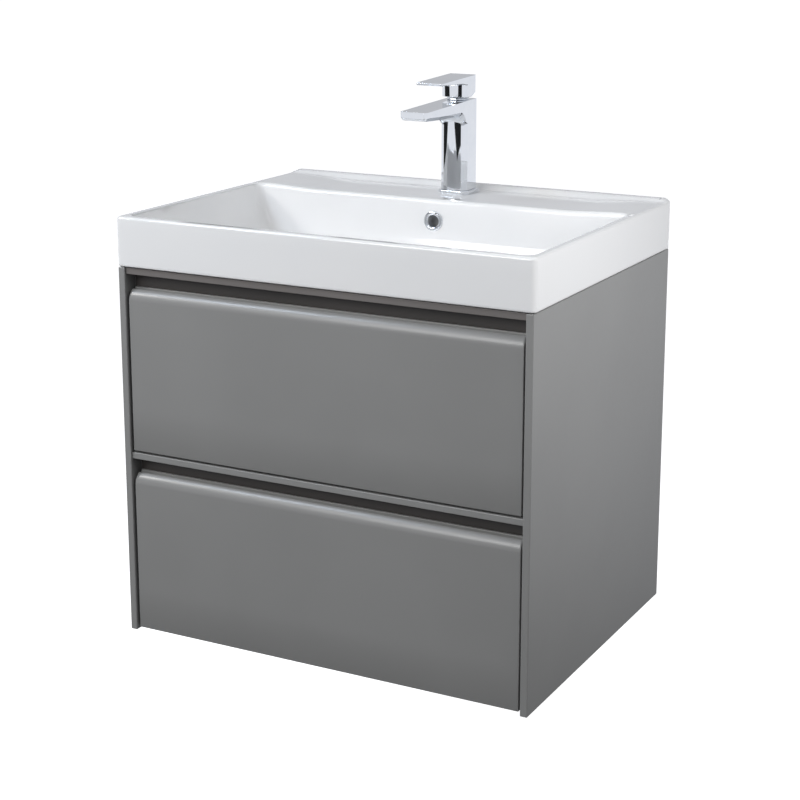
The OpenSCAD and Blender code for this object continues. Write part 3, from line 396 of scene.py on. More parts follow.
def basin():
    """One skin: bowl, rolled rim, tap deck with its upstand, apron, underside and waste boss."""
    low, high = edges_mm("basin")
    half, front, bottom = high[0], low[1], edges_mm("side_left")[1][2]
    rim, deck, upstand = bottom + RIM_RISE, bottom + DECK_RISE, high[2]
    waste_y = (front + FRONT_RIM + BOWL_BACK_Y) / 2
    inset, inset_r = half - OUTER_ROLL, CORNER_R - OUTER_ROLL
    quarter = [math.radians(90 * k / ROLL_STEPS) for k in range(ROLL_STEPS + 1)]
    points, faces = [], []

    def row(row_points):
        """Keeps a row of points, and gives the number of its first."""
        points.extend([p[:3] for p in row_points])
        return len(points) - len(row_points)

    def skin(rows, closed=True):
        """Joins each row of points to the next."""
        starts = [row(p) for p in rows]
        for a, b in zip(starts, starts[1:]):
            faces.extend(strip_faces(a, b, len(rows[0]), closed))

    # The deck's edge is rolled further than the rim's, and they blend round the back corners.
    edge = ring(half - SIDE_RIM, front + FRONT_RIM, BOWL_BACK_Y, EDGE_R, 0)
    total = len(edge)
    rim_share = [max(0.0, 1 - max(0, i - BACK_START) / CORNER_STEPS, 1 - (total - i) / CORNER_STEPS)
                 for i in range(total)]
    roll = [DECK_ROLL + (RIM_ROLL - DECK_ROLL) * s for s in rim_share]
    # The deck rises to the rim's level by an easy slope towards each end.
    top = [rim if i <= BACK_START else deck + (rim - deck) * ease((abs(p[0]) - SLOPE_START) / SLOPE_RUN)
           for i, p in enumerate(edge)]
    rolled = [[[p[0] + p[3] * f * (1 - math.cos(a)), p[1] + p[4] * f * (1 - math.cos(a)), t - f + f * math.sin(a)]
               for p, f, t in zip(edge, roll, top)] for a in quarter]
    skin([disc(edge, waste_y, r, z) for r, z in SEAT_LEVELS[::-1]] + [ring(*level) for level in BOWL_LEVELS[::-1]]
         + rolled)
    crest = rolled[-1]

    def top_at(x, y, base):
        """Height of the deck, whose upstand rises to the wall and runs out to the corners."""
        rise = ease((y - UPSTAND_Y) / UPSTAND_RUN) * (1 - ease((abs(x) - half + UPSTAND_END) / UPSTAND_END))
        return base + (upstand - base) * rise

    # Rim along the sides and the front, out to the start of the outer roll.
    rim_edge = ring(inset, front + OUTER_ROLL, crest[0][1] + inset_r, inset_r, rim)[:BACK_START + 1]
    skin([crest[:BACK_START + 1], rim_edge], False)

    # Deck, each ray carried back from the bowl's edge to the wall.
    deck_rays = []
    for i in list(range(BACK_START, total)) + [0]:
        x0, y0, _ = crest[i]
        ys = [y0 + (DECK_FLAT_Y - y0) * k / 9 for k in range(10)] + [*UPSTAND_ROWS, *BACK_ROWS]
        xs = [x0 * (1 - DECK_DRAW * ease((y - y0) / (DECK_FLAT_Y - y0))) for y in ys]
        deck_rays.append([[x, y, top_at(x, y, top[i])] for x, y in zip(xs, ys)])
    skin(deck_rays, False)

    # The two strips of rim beside the deck, which end in the round back corners.
    outer_ends = []
    for ray, sign in ((deck_rays[-1], 1), (deck_rays[0], -1)):
        count = len(ray) - len(BACK_ROWS)
        y_first = ray[0][1]
        ends = []
        for k, (_, y, _) in enumerate(ray):
            if k <= count:
                along = (y - y_first) / (BACK_ROWS[0] - y_first)
                ends.append((sign * inset, y_first + (-CORNER_R - y_first) * along, sign, 0.0))
            else:
                turn = math.radians(90 * (k - count) / (len(BACK_ROWS) - 1))
                nx, ny = sign * math.cos(turn), math.sin(turn)
                ends.append((sign * (half - CORNER_R) + inset_r * nx, -CORNER_R + inset_r * ny, nx, ny))
        lanes = [[[x + (end[0] - x) * t, y + (end[1] - y) * t,
                   top_at(x + (end[0] - x) * t, y + (end[1] - y) * t, rim)]
                  for (x, y, _), end in zip(ray, ends)] for t in (1 / 3, 2 / 3, 1)]
        skin([ray] + lanes, False)
        outer_ends.append(([[*p, *end[2:]] for p, end in zip(lanes[-1], ends)], [lane[-1] for lane in lanes]))

    # Outer roll and apron, all the way round. Each point of the loop carries its way outwards.
    right, left = outer_ends
    loop = [list(p) for p in rim_edge]
    loop += left[0][1:]
    loop += [[*p, 0, 1] for p in left[1][-2::-1]]
    loop += [[*ray[-1], 0, 1] for ray in deck_rays]
    loop += [[*p, 0, 1] for p in right[1][:-1]]
    loop += right[0][:0:-1]
    apron = [[[p[0] + p[3] * OUTER_ROLL * math.sin(a), p[1] + p[4] * OUTER_ROLL * math.sin(a),
               p[2] - OUTER_ROLL * (1 - math.cos(a))] for p in loop] for a in quarter]
    # The foot of the apron is rounded, and it leaves the wall near its lower edge.
    feet = [(z, 0.0) for z in APRON_ROWS]
    feet += [(bottom + FOOT_R * (1 - math.sin(math.radians(a))), FOOT_R * (1 - math.cos(math.radians(a))))
             for a in (0, 22.5, 45, 67.5, 90)]
    for z, tuck in feet:
        off = FOOT_OFF * ease((FOOT_OFF_TOP - z) / FOOT_OFF_RUN)
        apron.append([[p[0] + p[3] * (OUTER_ROLL - tuck),
                       p[1] + p[4] * (OUTER_ROLL - tuck) - off * max(0.0, p[4]), z] for p in loop])
    skin(apron)

    # Outside of the bowl, down to the boss round the waste.
    skin([ring(280.8, -423.2, -127.5, 27, bottom)] + [ring(*level) for level in SHELL_LEVELS]
         + [disc(edge, waste_y, r, z) for r, z in BOSS_LEVELS])

    # The underside closes the skin between the apron's foot and the bowl.
    piece = mesh_from("basin_china", points, faces)
    bm = bmesh.new()
    bm.from_mesh(piece.data)
    bmesh.ops.triangle_fill(bm, edges=[e for e in bm.edges if e.is_boundary], use_beauty=True)
    bmesh.ops.recalc_face_normals(bm, faces=bm.faces)
    bm.to_mesh(piece.data)
    bm.free()

    # Hollow under the deck, then the overflow's duct and the way inside it.
    wall_x = half - HOLLOW_WALL
    hollow = prism("hollow", [(-wall_x, HOLLOW_FRONT_Y), (wall_x, HOLLOW_FRONT_Y), (wall_x, HOLLOW_BACK_Y),
                              (-wall_x, HOLLOW_BACK_Y)], bottom - 20, deck - DECK_THICK)
    carve(piece, bevelled(hollow, 6, 3))
    duct = prism("duct", [(waste_y + 20, 431), (waste_y + 20, 464), (-215, 466), (-190, 469.5), (-168, 473),
                          (-153, 480), (-142.5, 490), (-136, 502), (-131, 520), (-127.5, 566), (-107, 566),
                          (-107, 431)], -DUCT_HALF, DUCT_HALF, "X")
    carve(piece, bevelled(duct, 3, 3, 50), "UNION")
    carve(piece, prism("way", [(-140, 440), (-125, 480), (-123, 558), (-112, 558), (-112, 440)],
                       -WAY_HALF, WAY_HALF, "X"))
    # Holes for the tap, the overflow and the two bolts to the wall.
    carve(piece, hole("tap_hole", TAP_HOLE_R, deck - 20, deck + 10, (0, TAP_Y, 0)))
    carve(piece, hole("overflow_hole", OVERFLOW_R, -150, -112, (0, 0, OVERFLOW_Z), "Y"))
    for sign in (-1, 1):
        carve(piece, hole("bolt_hole", WALL_BOLT_R, -20, 6, (sign * WALL_BOLT_X, 0, WALL_BOLT_Z), "Y", 32))
    placed(piece, china, "carcass", "ceramic", "basin", smooth=35)


basin()

# ---- Drawer fronts, strips and side panels ----

# The fronts' ends stand this much further from the lips than their solids do.
END_GAP = 1.6
# The nose's roll: its radii in depth and in height, how far it turns, and its top below the front's.
NOSE_DEPTH_R, NOSE_HEIGHT_R, NOSE_TURN, NOSE_DROP = 17, 17.5, 57, 3.5
# The finger groove behind the nose: where it starts, its radius and its depth.
GROOVE_Y, GROOVE_R, GROOVE_DEPTH = 8, 3.5, 6.5
# The back lip's rise over the nose and its corner radius, and the slab's other two edges.
LIP_RISE, LIP_R, FOOT_EDGE_R, BACK_EDGE_R = 1.4, 0.8, 1.2, 1
# The nose's corner radius at the ends, and the height over which the face bends down to it.
NOSE_CORNER_R, BEND_Z = 3.0, 190
# Distance from a front's end, and how far the outline is pulled in there.
END_SECTIONS = ((0.0, 1.0), (0.1, 0.55), (0.35, 0.2), (0.8, 0.04), (1.2, 0.0), (1.8, 0), (2.4, 0), (NOSE_CORNER_R, 0))
# The basin's rounded foot stands this far clear of the boards' top edges.
SEAT_GAP = 1.3
# Width of a side panel's lip beside the fronts, and depth of the channel's wall.
LIP_WIDTH, CHANNEL_DEPTH = 6, 12
# The height of each strip's face, and the thickness of the dark sheet laid on its channel, which is painted shade.
FACE_HEIGHT, SHADE_SHEET = {"top_rail": 10.5, "mid_rail": 10}, 0.8


def drawer_front(node, body):
    """A slab whose top edge rolls over into a finger groove, with soft ends."""
    low, high = edges_mm(node)
    y, z, height, depth = low[1], low[2], high[2] - low[2], high[1] - low[1]
    nose_z = height - NOSE_DROP
    lip_z, roll_z = nose_z + LIP_RISE, nose_z - 14.8
    groove_back = GROOVE_Y + 2 * GROOVE_R
    # The roll is an easy curve, so its sheen spreads.
    roll = [math.radians(NOSE_TURN * i / 16) for i in range(17)]
    outline = arc(FOOT_EDGE_R, FOOT_EDGE_R, FOOT_EDGE_R, 270, 180, 3)
    outline += [(0, 60), (0, 130), (0, 178), (0, roll_z - 0.6)]
    outline += [(NOSE_DEPTH_R * (1 - math.cos(a)), roll_z + NOSE_HEIGHT_R * math.sin(a)) for a in roll]
    outline += [(GROOVE_Y - 0.15, nose_z - 0.15), (GROOVE_Y, nose_z - 0.7)]
    outline += arc(GROOVE_Y + GROOVE_R, nose_z - GROOVE_DEPTH, GROOVE_R, 180, 360, 10)
    outline += [(groove_back, lip_z - LIP_R)]
    outline += arc(groove_back + LIP_R, lip_z - LIP_R, LIP_R, 180, 90, 3)[1:]
    outline += arc(depth - LIP_R, lip_z - LIP_R, LIP_R, 90, 0, 3)
    outline += [(depth, 120)] + arc(depth - BACK_EDGE_R, BACK_EDGE_R, BACK_EDGE_R, 0, -90, 3)
    half = high[0] - END_GAP
    stations = [(-half + d, d, pull) for d, pull in END_SECTIONS]
    stations += [(x * half, 99, 0) for x in (-0.8, -0.4, 0, 0.4, 0.8)]
    stations += [(half - d, d, pull) for d, pull in END_SECTIONS[::-1]]
    sections = []
    for x, d, pull in stations:
        drop = NOSE_CORNER_R - math.sqrt(max(0.0, NOSE_CORNER_R ** 2 - (NOSE_CORNER_R - min(d, NOSE_CORNER_R)) ** 2))
        section = []
        for a, b in outline:
            if a <= GROOVE_Y + 0.2 and b > BEND_Z:
                b -= drop * ease((b - BEND_Z) / (nose_z - BEND_Z)) * 0.9
            in_groove = GROOVE_Y < a < groove_back + 0.2 and b > BEND_Z
            a += pull * (1.0 if a < depth / 2 else -1.0) * (0.0 if in_groove else 1.0)
            b += pull * (-1.0 if b > 100 else 1.0)
            section.append((x, y + a, z + b))
        sections.append(section)
    placed(loft(node + "_lacquered", sections), cabinet_grey, body, "lacquer", node, smooth=32)


def side_panel(node, sign):
    """A board with a lip along its front edge, rebated for the fronts."""
    low, high = edges_mm(node)
    outer, inner = (high[0], low[0]) if sign > 0 else (low[0], high[0])
    lip = inner + sign * LIP_WIDTH
    rebate_y = edges_mm("top_rail")[1][1] - CHANNEL_DEPTH
    outline = [(outer, low[1]), (lip, low[1]), (lip, rebate_y), (inner, rebate_y), (inner, high[1]), (outer, high[1])]
    panel = prism(node + "_lacquered", outline, low[2], high[2] - SEAT_GAP)
    placed(bevelled(panel, 1.3, 4), cabinet_grey, "carcass", "lacquer", node)


def strip(node, finish):
    """A strip level with the fronts, and the channel wall that hangs behind the finger gap."""
    low, high = edges_mm(node)
    wall_y, back_y, bar_top = high[1] - CHANNEL_DEPTH, high[1], high[2] - SEAT_GAP
    face_z = high[2] - FACE_HEIGHT[node]
    # The strip runs over both lips, and its wall stops at the boards.
    half = high[0]
    bar = prism(node + "_face", [(low[1], face_z), (low[1], bar_top), (wall_y, bar_top), (wall_y, face_z)],
                -half, half, "X")
    placed(bevelled(bar, 0.8, 3), finish, "carcass", "lacquer_dark", node)
    # The channel's wall is drawn in near black lacquer, which is painted shade for the finger gap.
    wall = prism(node + "_channel", [(wall_y, low[2]), (wall_y, high[2]), (back_y, high[2]), (back_y, low[2])],
                 -half + LIP_WIDTH, half - LIP_WIDTH, "X")
    # A thin dark sheet before the channel's wall, wider than the wall, covers the gap's ends: painted shade.
    shade_sheet_y = wall_y - SHADE_SHEET
    shade_sheet = prism(node + "_painted_shade_sheet", [(shade_sheet_y, low[2] + 1), (shade_sheet_y, face_z), (shade_sheet_y + 1.2, face_z),
                                      (shade_sheet_y + 1.2, low[2] + 1)], -half + 0.6, half - 0.6, "X")
    placed(shade_sheet, channel_painted_shade, "carcass", "lacquer_dark")
    placed(bevelled(wall, 0.5, 2), channel_painted_shade, "carcass", "lacquer_dark")


drawer_front("upper_front", "upper_drawer")
drawer_front("lower_front", "lower_drawer")
side_panel("side_left", -1)
side_panel("side_right", 1)
# The top strip is drawn in the darker grey of painted shade; the middle strip in the cabinet's own lacquer.
strip("top_rail", strip_painted_shade)
strip("mid_rail", cabinet_grey)

# ---- Tap ----

deck_z = edges_mm("tap_base")[0][2]
# The column's half width and half depth, its front's crown, and the plate it stands on.
COLUMN_HALF, COLUMN_DEPTH, COLUMN_CROWN, PLATE_THICK, PLATE_MARGIN = 20.5, 17.5, 1.3, 5, 3.5
COLUMN_CUT, PLATE_CUT = 7, 8
# The spout's top over the deck at the column's back, its reach from there and its fall over that reach.
SPOUT_TOP, SPOUT_REACH, SPOUT_FALL = 133, 155.5, 5.5
# Distance in front of the spindle, half width, thickness and edge cut along the spout.
SPOUT_LINE = ((-138, 17.0, 14.2, 1.5), (-136.6, 18.6, 16.0, 2.6), (-134, 20.5, 17.3, 4.0), (-128, 20.5, 18.2, 5.0),
              (-104, 20.5, 19.4, 5.0), (-76, 20.5, 20.3, 5.0), (-34, 20.5, 20.6, 5.0))
SPOUT_CUT, COLUMN_JOIN = 5.0, 38
OUTLET_Y, OUTLET_R = -124, 9.1
# Distance in front of the spindle and thickness along the lever, and how much narrower it is there.
LEVER_LINE = ((-91, 2, 6.4), (-90, 0.6, 7.3), (-88, 0, 7.8), (-64, 0, 9.0), (-30, 0, 10.4), (-24, 0, 11.0),
              (-19, 0, 12.2), (-10, 0, 13.0), (15, 0, 13.0))
LEVER_BACK, LEVER_FALL, LEVER_LENGTH, LEVER_CUT = 15, 4, 106, 0.8
# Where the lever's block starts to turn into its crowned front, and that front's shape.
BLOCK_FRONT, BLOCK_NOSE, BLOCK_CROWN, BLOCK_SHARE = -10, -15.5, 2.0, 0.7


def column_plan(margin, cut, crown=0.0):
    """The column's plan: a rectangle with cut front corners and a front that may be slightly crowned."""
    hw, hd = COLUMN_HALF + margin, COLUMN_DEPTH + margin
    fw = hw - cut
    steps = (-1, -0.75, -0.5, -0.25, 0, 0.25, 0.5, 0.75, 1) if crown else (-1, 1)
    front = [(fw * t, TAP_Y - hd - crown * (1 - t * t)) for t in steps]
    return [(-hw, TAP_Y + hd), (-hw, TAP_Y - hd + cut)] + front + [(hw, TAP_Y - hd + cut), (hw, TAP_Y + hd)]


def bar_section(y, half, bottom, top, cut):
    """A bar's section across its length, with its two lower edges cut."""
    return [(-half + cut, y, bottom), (-half, y, bottom + cut), (-half, y, top), (half, y, top),
            (half, y, bottom + cut), (half - cut, y, bottom)]


def tap_body():
    """A bevelled column whose spout leans forward from its top, in one casting."""
    top = deck_z + SPOUT_TOP
    line = list(SPOUT_LINE)
    line += [(y, COLUMN_HALF, -z, SPOUT_CUT) for y, z in arc(-33.5, -36.6, 16, 80, 6, 9)]
    line += [(-10, COLUMN_HALF, COLUMN_JOIN, SPOUT_CUT), (COLUMN_DEPTH, COLUMN_HALF, COLUMN_JOIN, SPOUT_CUT)]
    spout = loft("tap_body_chromed", [
        bar_section(TAP_Y + y, half, top - under, top - SPOUT_FALL * (COLUMN_DEPTH - y) / SPOUT_REACH, cut)
        for y, half, under, cut in line])
    column = prism("column", column_plan(0, COLUMN_CUT, COLUMN_CROWN), deck_z + PLATE_THICK + 0.2, top - 30)
    carve(spout, column, "UNION")
    carve(spout, hole("outlet", OUTLET_R, top - 40, top - 13, (0, TAP_Y + OUTLET_Y, 0), steps=40))
    placed(bevelled(spout, 0.6, 2, 26), chrome, "carcass", "chrome", "tap_body")


def lever():
    """A thin plate over a block with cut front corners, which stands on the spindle."""
    low, high = edges_mm("tap_lever")
    z0, z1, half = low[2], high[2], high[0]
    plate = loft("tap_lever_chromed", [
        bar_section(TAP_Y + y, half - less, z1 - under, z1 - LEVER_FALL * (LEVER_BACK - y) / LEVER_LENGTH, LEVER_CUT)
        for y, less, under in LEVER_LINE])
    plan = [(-half, TAP_Y + LEVER_BACK), (-half, TAP_Y + BLOCK_FRONT)]
    plan += [(x * half, TAP_Y + BLOCK_NOSE - BLOCK_CROWN * (1 - (x / BLOCK_SHARE) ** 2))
             for x in (-0.7, -0.6, -0.45, -0.3, -0.15, 0, 0.15, 0.3, 0.45, 0.6, 0.7)]
    plan += [(half, TAP_Y + BLOCK_FRONT), (half, TAP_Y + LEVER_BACK)]
    block = prism("block", plan, z0, z1 - 8)
    # Room behind the block for the lever to lift, and the pocket for the spindle.
    heel = [(TAP_Y - 2, z0 - 3), (TAP_Y + 20, z0 - 3), (TAP_Y + 20, z0 + 7), (TAP_Y + 15, z0 + 5.5)]
    carve(block, prism("heel", heel, -half - 2, half + 2, "X"))
    carve(plate, block, "UNION")
    carve(plate, prism("pocket", [(-6.5, TAP_Y - 7.5), (6.5, TAP_Y - 7.5), (6.5, TAP_Y + 13), (-6.5, TAP_Y + 13)],
                       z0 - 5, z0 + 16.5))
    placed(bevelled(plate, 0.5, 2, 26), chrome, "tap_lever", "chrome", "tap_lever")


tap_body()
base = prism("tap_base_chromed", column_plan(PLATE_MARGIN, PLATE_CUT), deck_z, deck_z + PLATE_THICK)
placed(bevelled(base, 0.9, 3), chrome, "carcass", "chrome", "tap_base")
collar_top = edges_mm("tap_collar")[1][2]
collar = lathe("tap_collar_chromed", [(8.3, collar_top - 3)] + arc(14.4, collar_top - 1.4, 1.6, -60, 90, 8)
               + [(8.3, collar_top + 0.2)], (0, TAP_Y, 0))
placed(collar, chrome, "carcass", "chrome", "tap_collar", smooth=30)
lever()

# ---- Overflow ring, waste and plug ----

ring_low, ring_high = edges_mm("overflow_ring")
# The ring's inner radius, its tube's outer radius, and its bead's middle, half width and height.
RING_R, TUBE_R, BEAD_R, BEAD_HALF, BEAD_HEIGHT = 8.2, 9.8, 11.35, 3.15, 2.4
seat_y = ring_low[1] + BEAD_HEIGHT
bead = [(BEAD_R + BEAD_HALF * math.cos(math.radians(a)), seat_y - BEAD_HEIGHT * math.sin(math.radians(a)))
        for a in range(180, -1, -15)]
overflow_ring = lathe("overflow_ring_chromed", [(RING_R, ring_high[1]), (RING_R, seat_y), *bead, (TUBE_R, seat_y),
                                                (TUBE_R, ring_high[1])],
                      (0, 0, (ring_low[2] + ring_high[2]) / 2), "Y")
placed(overflow_ring, chrome, "carcass", "chrome", "overflow_ring", smooth=35)

plug_low, plug_high = edges_mm("waste_plug")
cap_z, stem_r = plug_high[2] - 4, 4
plug = lathe("waste_plug_chromed",
             [(0.01, plug_high[2]), (10, plug_high[2] - 0.1), (20, plug_high[2] - 0.5), (26, plug_high[2] - 1.1)]
             + arc(27.6, cap_z + 1.4, 1.4, 70, -90, 6)
             + [(stem_r, cap_z), (stem_r, plug_low[2] + 1), (stem_r - 1, plug_low[2]), (0.01, plug_low[2])],
             (0, (plug_low[1] + plug_high[1]) / 2, 0))
placed(plug, chrome, "waste_plug", "chrome", "waste_plug", smooth=35)

# ---- Boards, runners, fittings and trap ----

# The lacquer_dark slot takes the top strip's darker grey, which is painted shade.
FINISHES = {"board": board_grey, "zinc_steel": zinc, "white_plastic": plastic, "seal_rubber": rubber,
            "chrome": chrome, "lacquer": cabinet_grey, "lacquer_dark": strip_painted_shade, "ceramic": china}
# How far the real edges of each kind of piece are broken, in millimetres.
ARRIS = {"board": 0.5, "zinc_steel": 0.25, "white_plastic": 0.5, "seal_rubber": 0.4, "chrome": 0.3}
REMADE = ("basin", "upper_front", "lower_front", "side_left", "side_right", "top_rail", "mid_rail", "tap_body",
          "tap_base", "tap_collar", "tap_lever", "overflow_ring", "waste_plug")
body_of = {node: body for body, held in frame["record"]["behaviour"]["bodies"].items() for node in held}


def eased(node, slot):
    """A node's solids as one clean mesh, with its real edges softened."""
    piece = bpy.data.objects.new(node + "_eased", nodes[node].data.copy())
    bpy.context.scene.collection.objects.link(piece)
    bm = bmesh.new()
    bm.from_mesh(piece.data)
    bmesh.ops.remove_doubles(bm, verts=bm.verts, dist=SAME_CAD_POINT * MM)
    bmesh.ops.dissolve_limit(bm, angle_limit=math.radians(0.6), verts=bm.verts, edges=bm.edges)
    bm.to_mesh(piece.data)
    bm.free()
    placed(bevelled(piece, ARRIS[slot], 2, 40), FINISHES[slot], body_of[node], slot, node)


for part in frame["record"]["subparts"]:
    name, slot_name = part["node"], part["material_slot"]
    nodes[name].data.materials.clear()
    nodes[name].data.materials.append(FINISHES[slot_name])
    if name not in REMADE:
        eased(name, slot_name)


def solids_of(node):
    """The lowest and highest corner of each separate solid in a node, in metres, in order of place."""
    bm = bmesh.new()
    bm.from_mesh(nodes[node].data)
    bmesh.ops.remove_doubles(bm, verts=bm.verts, dist=SAME_CAD_POINT * MM)
    left, boxes = set(bm.verts), []
    while left:
        reach, island = [left.pop()], []
        while reach:
            vert = reach.pop()
            island.append(vert.co.copy())
            near = [e.other_vert(vert) for e in vert.link_edges]
            fresh = {v for v in near if v in left}
            left -= fresh
            reach += fresh
        boxes.append(([min(c[i] for c in island) for i in range(3)], [max(c[i] for c in island) for i in range(3)]))
    bm.free()
    return sorted(boxes)


def repeated(name, places, build, sizes, finish, body, slot):
    """One shape set on each place by a node tree with named sizes, made into a plain mesh."""
    mesh = bpy.data.meshes.new(name + "_places")
    mesh.from_pydata([p for p, _ in places], [], [])
    turn = mesh.attributes.new("turn", "FLOAT_VECTOR", "POINT")
    for i, (_, angles) in enumerate(places):
        turn.data[i].vector = angles
    piece = bpy.data.objects.new(name, mesh)
    bpy.context.scene.collection.objects.link(piece)
    tree = bpy.data.node_groups.new(name, "GeometryNodeTree")
    tree.interface.new_socket("Places", in_out="INPUT", socket_type="NodeSocketGeometry")
    made = {key: tree.interface.new_socket(key, in_out="INPUT", socket_type="NodeSocketFloat") for key in sizes}
    tree.interface.new_socket("Shape", in_out="OUTPUT", socket_type="NodeSocketGeometry")
    given = add(tree, "NodeGroupInput").outputs
    angles = add(tree, "GeometryNodeInputNamedAttribute", {"Name": "turn"}, data_type="FLOAT_VECTOR")
    turned = add(tree, "FunctionNodeEulerToRotation", {0: angles.outputs["Attribute"]})
    spread = add(tree, "GeometryNodeInstanceOnPoints", {"Points": given["Places"], "Instance": build(tree, given),
                                                        "Rotation": turned.outputs[0]})
    real = add(tree, "GeometryNodeRealizeInstances", {0: spread.outputs[0]})
    coated = add(tree, "GeometryNodeSetMaterial", {"Geometry": real.outputs[0], "Material": finish})
    add(tree, "NodeGroupOutput", {"Shape": coated.outputs[0]})
    pattern = piece.modifiers.new(name, "NODES")
    pattern.node_group = tree
    for key, value in sizes.items():
        pattern[made[key].identifier] = value
    placed(bake(piece), finish, body, slot, smooth=35)


def recessed_head(tree, given):
    """A pan head that looks along X, with a cross recess."""
    flatness = 0.42
    dome = add(tree, "GeometryNodeMeshUVSphere", {"Segments": 20, "Rings": 12, "Radius": given["Head radius"]})
    flat = add(tree, "ShaderNodeCombineXYZ", {"X": flatness, "Y": 1.0, "Z": 1.0})
    pan = add(tree, "GeometryNodeTransform", {"Geometry": dome.outputs["Mesh"], "Scale": flat.outputs[0]})
    deep = add(tree, "ShaderNodeMath", {0: given["Head radius"], 1: 0.6}, operation="MULTIPLY")
    wide = add(tree, "ShaderNodeMath", {0: given["Head radius"], 1: 1.2}, operation="MULTIPLY")
    out = add(tree, "ShaderNodeCombineXYZ", {"X": given["Head radius"]})
    crown = add(tree, "ShaderNodeVectorMath", {0: out.outputs[0], "Scale": flatness}, operation="SCALE")
    head = pan
    for y, z in ((wide.outputs[0], given["Recess width"]), (given["Recess width"], wide.outputs[0])):
        size = add(tree, "ShaderNodeCombineXYZ", {"X": deep.outputs[0], "Y": y, "Z": z})
        bar = add(tree, "GeometryNodeMeshCube", {"Size": size.outputs[0]})
        slot = add(tree, "GeometryNodeTransform", {"Geometry": bar.outputs["Mesh"], "Translation": crown.outputs[0]})
        head = add(tree, "GeometryNodeMeshBoolean", {"Mesh 1": head.outputs[0], "Mesh 2": slot.outputs[0]},
                   operation="DIFFERENCE")
    return head.outputs[0]


def grip_rib(tree, given):
    """An upright rib, for fingers to turn a nut by."""
    rod = add(tree, "GeometryNodeMeshCylinder", {"Vertices": 10, "Radius": given["Rib radius"],
                                                 "Depth": given["Rib length"]})
    return rod.outputs["Mesh"]


heads = []
for low, high in solids_of("runner_screws"):
    side = 1 if low[0] + high[0] > 0 else -1
    x = low[0] if side > 0 else high[0]
    heads.append(((x + side * 0.4 * MM, (low[1] + high[1]) / 2, (low[2] + high[2]) / 2),
                  (0.3 * len(heads), 0, math.pi if side > 0 else 0)))
repeated("runner_screw_heads", heads, recessed_head, {"Head radius": 0.0031, "Recess width": 0.0008}, zinc,
         "carcass", "zinc_steel")

RIBS = 24
nut_low, nut_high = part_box("waste_nut")
middle = [(a + b) / 2 for a, b in zip(nut_low, nut_high)]
grip = (nut_high[0] - nut_low[0]) / 2 - 0.4 * MM
ribs = [((middle[0] + grip * math.cos(math.tau * i / RIBS), middle[1] + grip * math.sin(math.tau * i / RIBS),
          middle[2]), (0, 0, 0)) for i in range(RIBS)]
repeated("waste_nut_ribs", ribs, grip_rib, {"Rib radius": 0.0009, "Rib length": (nut_high[2] - nut_low[2]) * 0.8},
         plastic, "carcass", "white_plastic")

# ---- Floor, light and camera ----

FLOOR_Z, FLOOR_REACH = -0.32, 60
# Black flags that only the polished chrome picks up: where they stand, and their corners (x, z).
FLAG_Y = -0.30
FLAGS = {"flag_left": ((-0.36, 0.72), (-0.19, 0.72), (-0.165, 0.655), (-0.19, 0.60), (-0.24, 0.558), (-0.30, 0.60)),
         "flag_front": ((-0.02, 0.72), (0.14, 0.72), (0.05, 0.655), (0.02, 0.572), (-0.015, 0.61), (-0.045, 0.585),
                        (-0.085, 0.655), (-0.02, 0.665))}
# The studio's walls by sine of elevation, as gloss sees them and as soft light sees them.
GLOSS_WALLS = ((-1.0, 0.06), (1.0, 0.9), (-0.44, 0.10), (-0.33, 0.60), (-0.2, 0.90), (0.0, 0.80), (0.16, 0.54),
               (0.35, 0.50), (0.7, 0.75))
SOFT_WALLS = ((-1.0, 0.12), (1.0, 0.28), (0.0, 0.13), (0.5, 0.23))
WALL_TINT = (0.97, 0.985, 1.03)


def stage_card(name, corners, code, lit=0.0):
    """A floor or a studio card, which isn't part of the object and lights nothing by diffuse light."""
    material, _, shader, _ = finish_named(name, Roughness=0.8, Emission_Strength=lit)
    for socket in ("Base Color", "Emission Color"):
        shader.inputs[socket].default_value = hex_linear(code)
    mesh = bpy.data.meshes.new(name)
    mesh.from_pydata(corners, [], [list(range(len(corners)))])
    mesh.materials.append(material)
    card = bpy.data.objects.new(name, mesh)
    bpy.context.scene.collection.objects.link(card)
    card.visible_diffuse = False
    return card


def softbox(name, place, aim, width, height, watts, tint="#FFFFFF"):
    """A rectangular area light that faces a point."""
    data = bpy.data.lights.new(name, "AREA")
    data.shape, data.size, data.size_y, data.energy = "RECTANGLE", width, height, watts
    data.color = hex_linear(tint)[:3]
    lamp = bpy.data.objects.new(name, data)
    lamp.location = place
    lamp.rotation_euler = (Vector(aim) - Vector(place)).to_track_quat("-Z", "Y").to_euler()
    bpy.context.scene.collection.objects.link(lamp)
    return lamp


floor = stage_card("studio_floor", [(x * FLOOR_REACH, y * FLOOR_REACH, FLOOR_Z) for x, y in
                                    ((-1, -1), (1, -1), (1, 1), (-1, 1))], "#F8F8F8", 0.80)
floor.visible_glossy = False
for name, corners in FLAGS.items():
    flag = stage_card(name, [(x, FLAG_Y, z) for x, z in corners], "#050505")
    flag.visible_camera = flag.visible_shadow = False

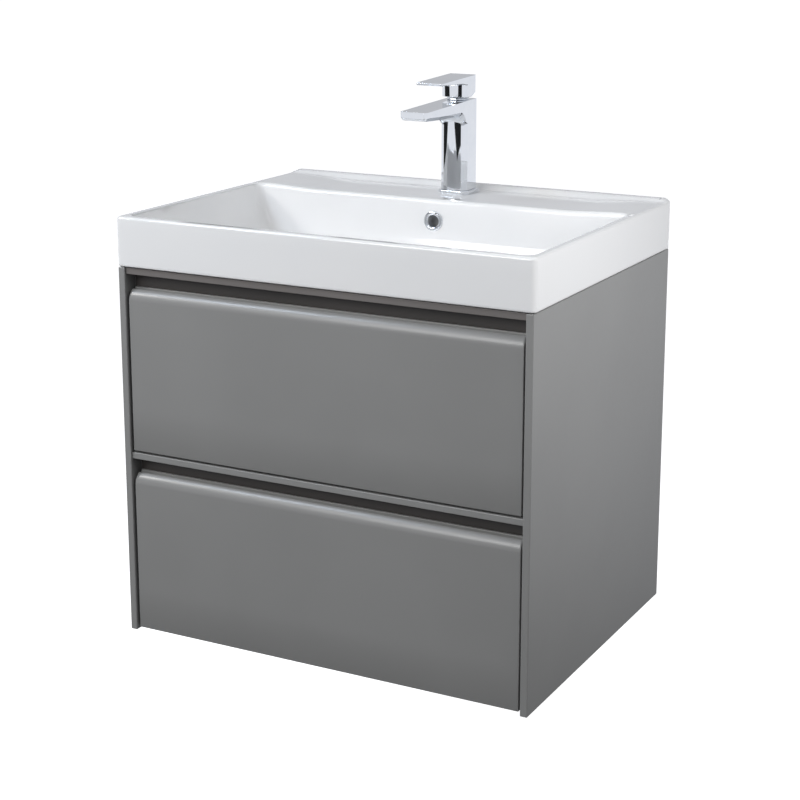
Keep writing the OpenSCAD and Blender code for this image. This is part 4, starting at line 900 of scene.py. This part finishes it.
softbox("key_left", (-1.9, -1.6, 1.75), (-0.1, -0.25, 0.5), 0.45, 0.45, 21, "#FFFDF9")
softbox("nose_left", (-1.1, -1.3, 1.85), (-0.2, -0.45, 0.45), 0.35, 0.4, 10, "#DCE9FB")
softbox("front_high", (-0.65, -2.9, 1.8), (0, -0.4, 0.3), 1.6, 1.2, 42)
softbox("right_high", (0.98, -0.42, 0.80), (0.3, -0.22, 0.42), 0.5, 0.4, 5.7).visible_glossy = False

world = bpy.data.worlds.new("studio")
world.use_nodes = True
bpy.context.scene.world = world
sky = world.node_tree
sky.nodes.clear()
path = add(sky, "ShaderNodeLightPath")
toward = add(sky, "ShaderNodeTexCoord")
parts = add(sky, "ShaderNodeSeparateXYZ", {0: toward.outputs["Generated"]})
height = add(sky, "ShaderNodeMapRange", {"Value": parts.outputs["Z"], "From Min": -1.0, "From Max": 1.0})


def sky_band(stops):
    """The studio's walls by height: grey level at each sine of elevation."""
    band = add(sky, "ShaderNodeValToRGB", {"Fac": height.outputs["Result"]})
    ramp = band.color_ramp
    for i, (sine, level) in enumerate(stops):
        at = (sine + 1) / 2
        stop = ramp.elements[i] if i < 2 else ramp.elements.new(at)
        stop.position, stop.color = at, (*(level * t for t in WALL_TINT), 1.0)
    return band.outputs["Color"]


gloss_sky = add(sky, "ShaderNodeBackground", {"Color": sky_band(GLOSS_WALLS)})
soft_sky = add(sky, "ShaderNodeBackground", {"Color": sky_band(SOFT_WALLS)})
white = add(sky, "ShaderNodeBackground", {"Color": hex_linear("#FFFFFF"), "Strength": 1.0})
light = add(sky, "ShaderNodeMixShader", {0: path.outputs["Is Diffuse Ray"], 1: gloss_sky.outputs[0],
                                         2: soft_sky.outputs[0]})
seen = add(sky, "ShaderNodeMixShader", {0: path.outputs["Is Camera Ray"], 1: light.outputs[0], 2: white.outputs[0]})
add(sky, "ShaderNodeOutputWorld", {"Surface": seen.outputs[0]})

lens = bpy.data.cameras.new("camera")
lens.lens, lens.sensor_width, lens.shift_y = 81.1, 36.0, -0.1
camera = bpy.data.objects.new("camera", lens)
camera.location = (1.1189, -2.3372, 0.9820)
# Looking 13.21 degrees down, from 27.98 degrees round to the right of the front.
camera.rotation_euler = (math.radians(90 - 13.21), 0, math.radians(27.98))
bpy.context.scene.collection.objects.link(camera)
bpy.context.scene.camera = camera
bpy.context.scene.view_settings.view_transform = "Standard"
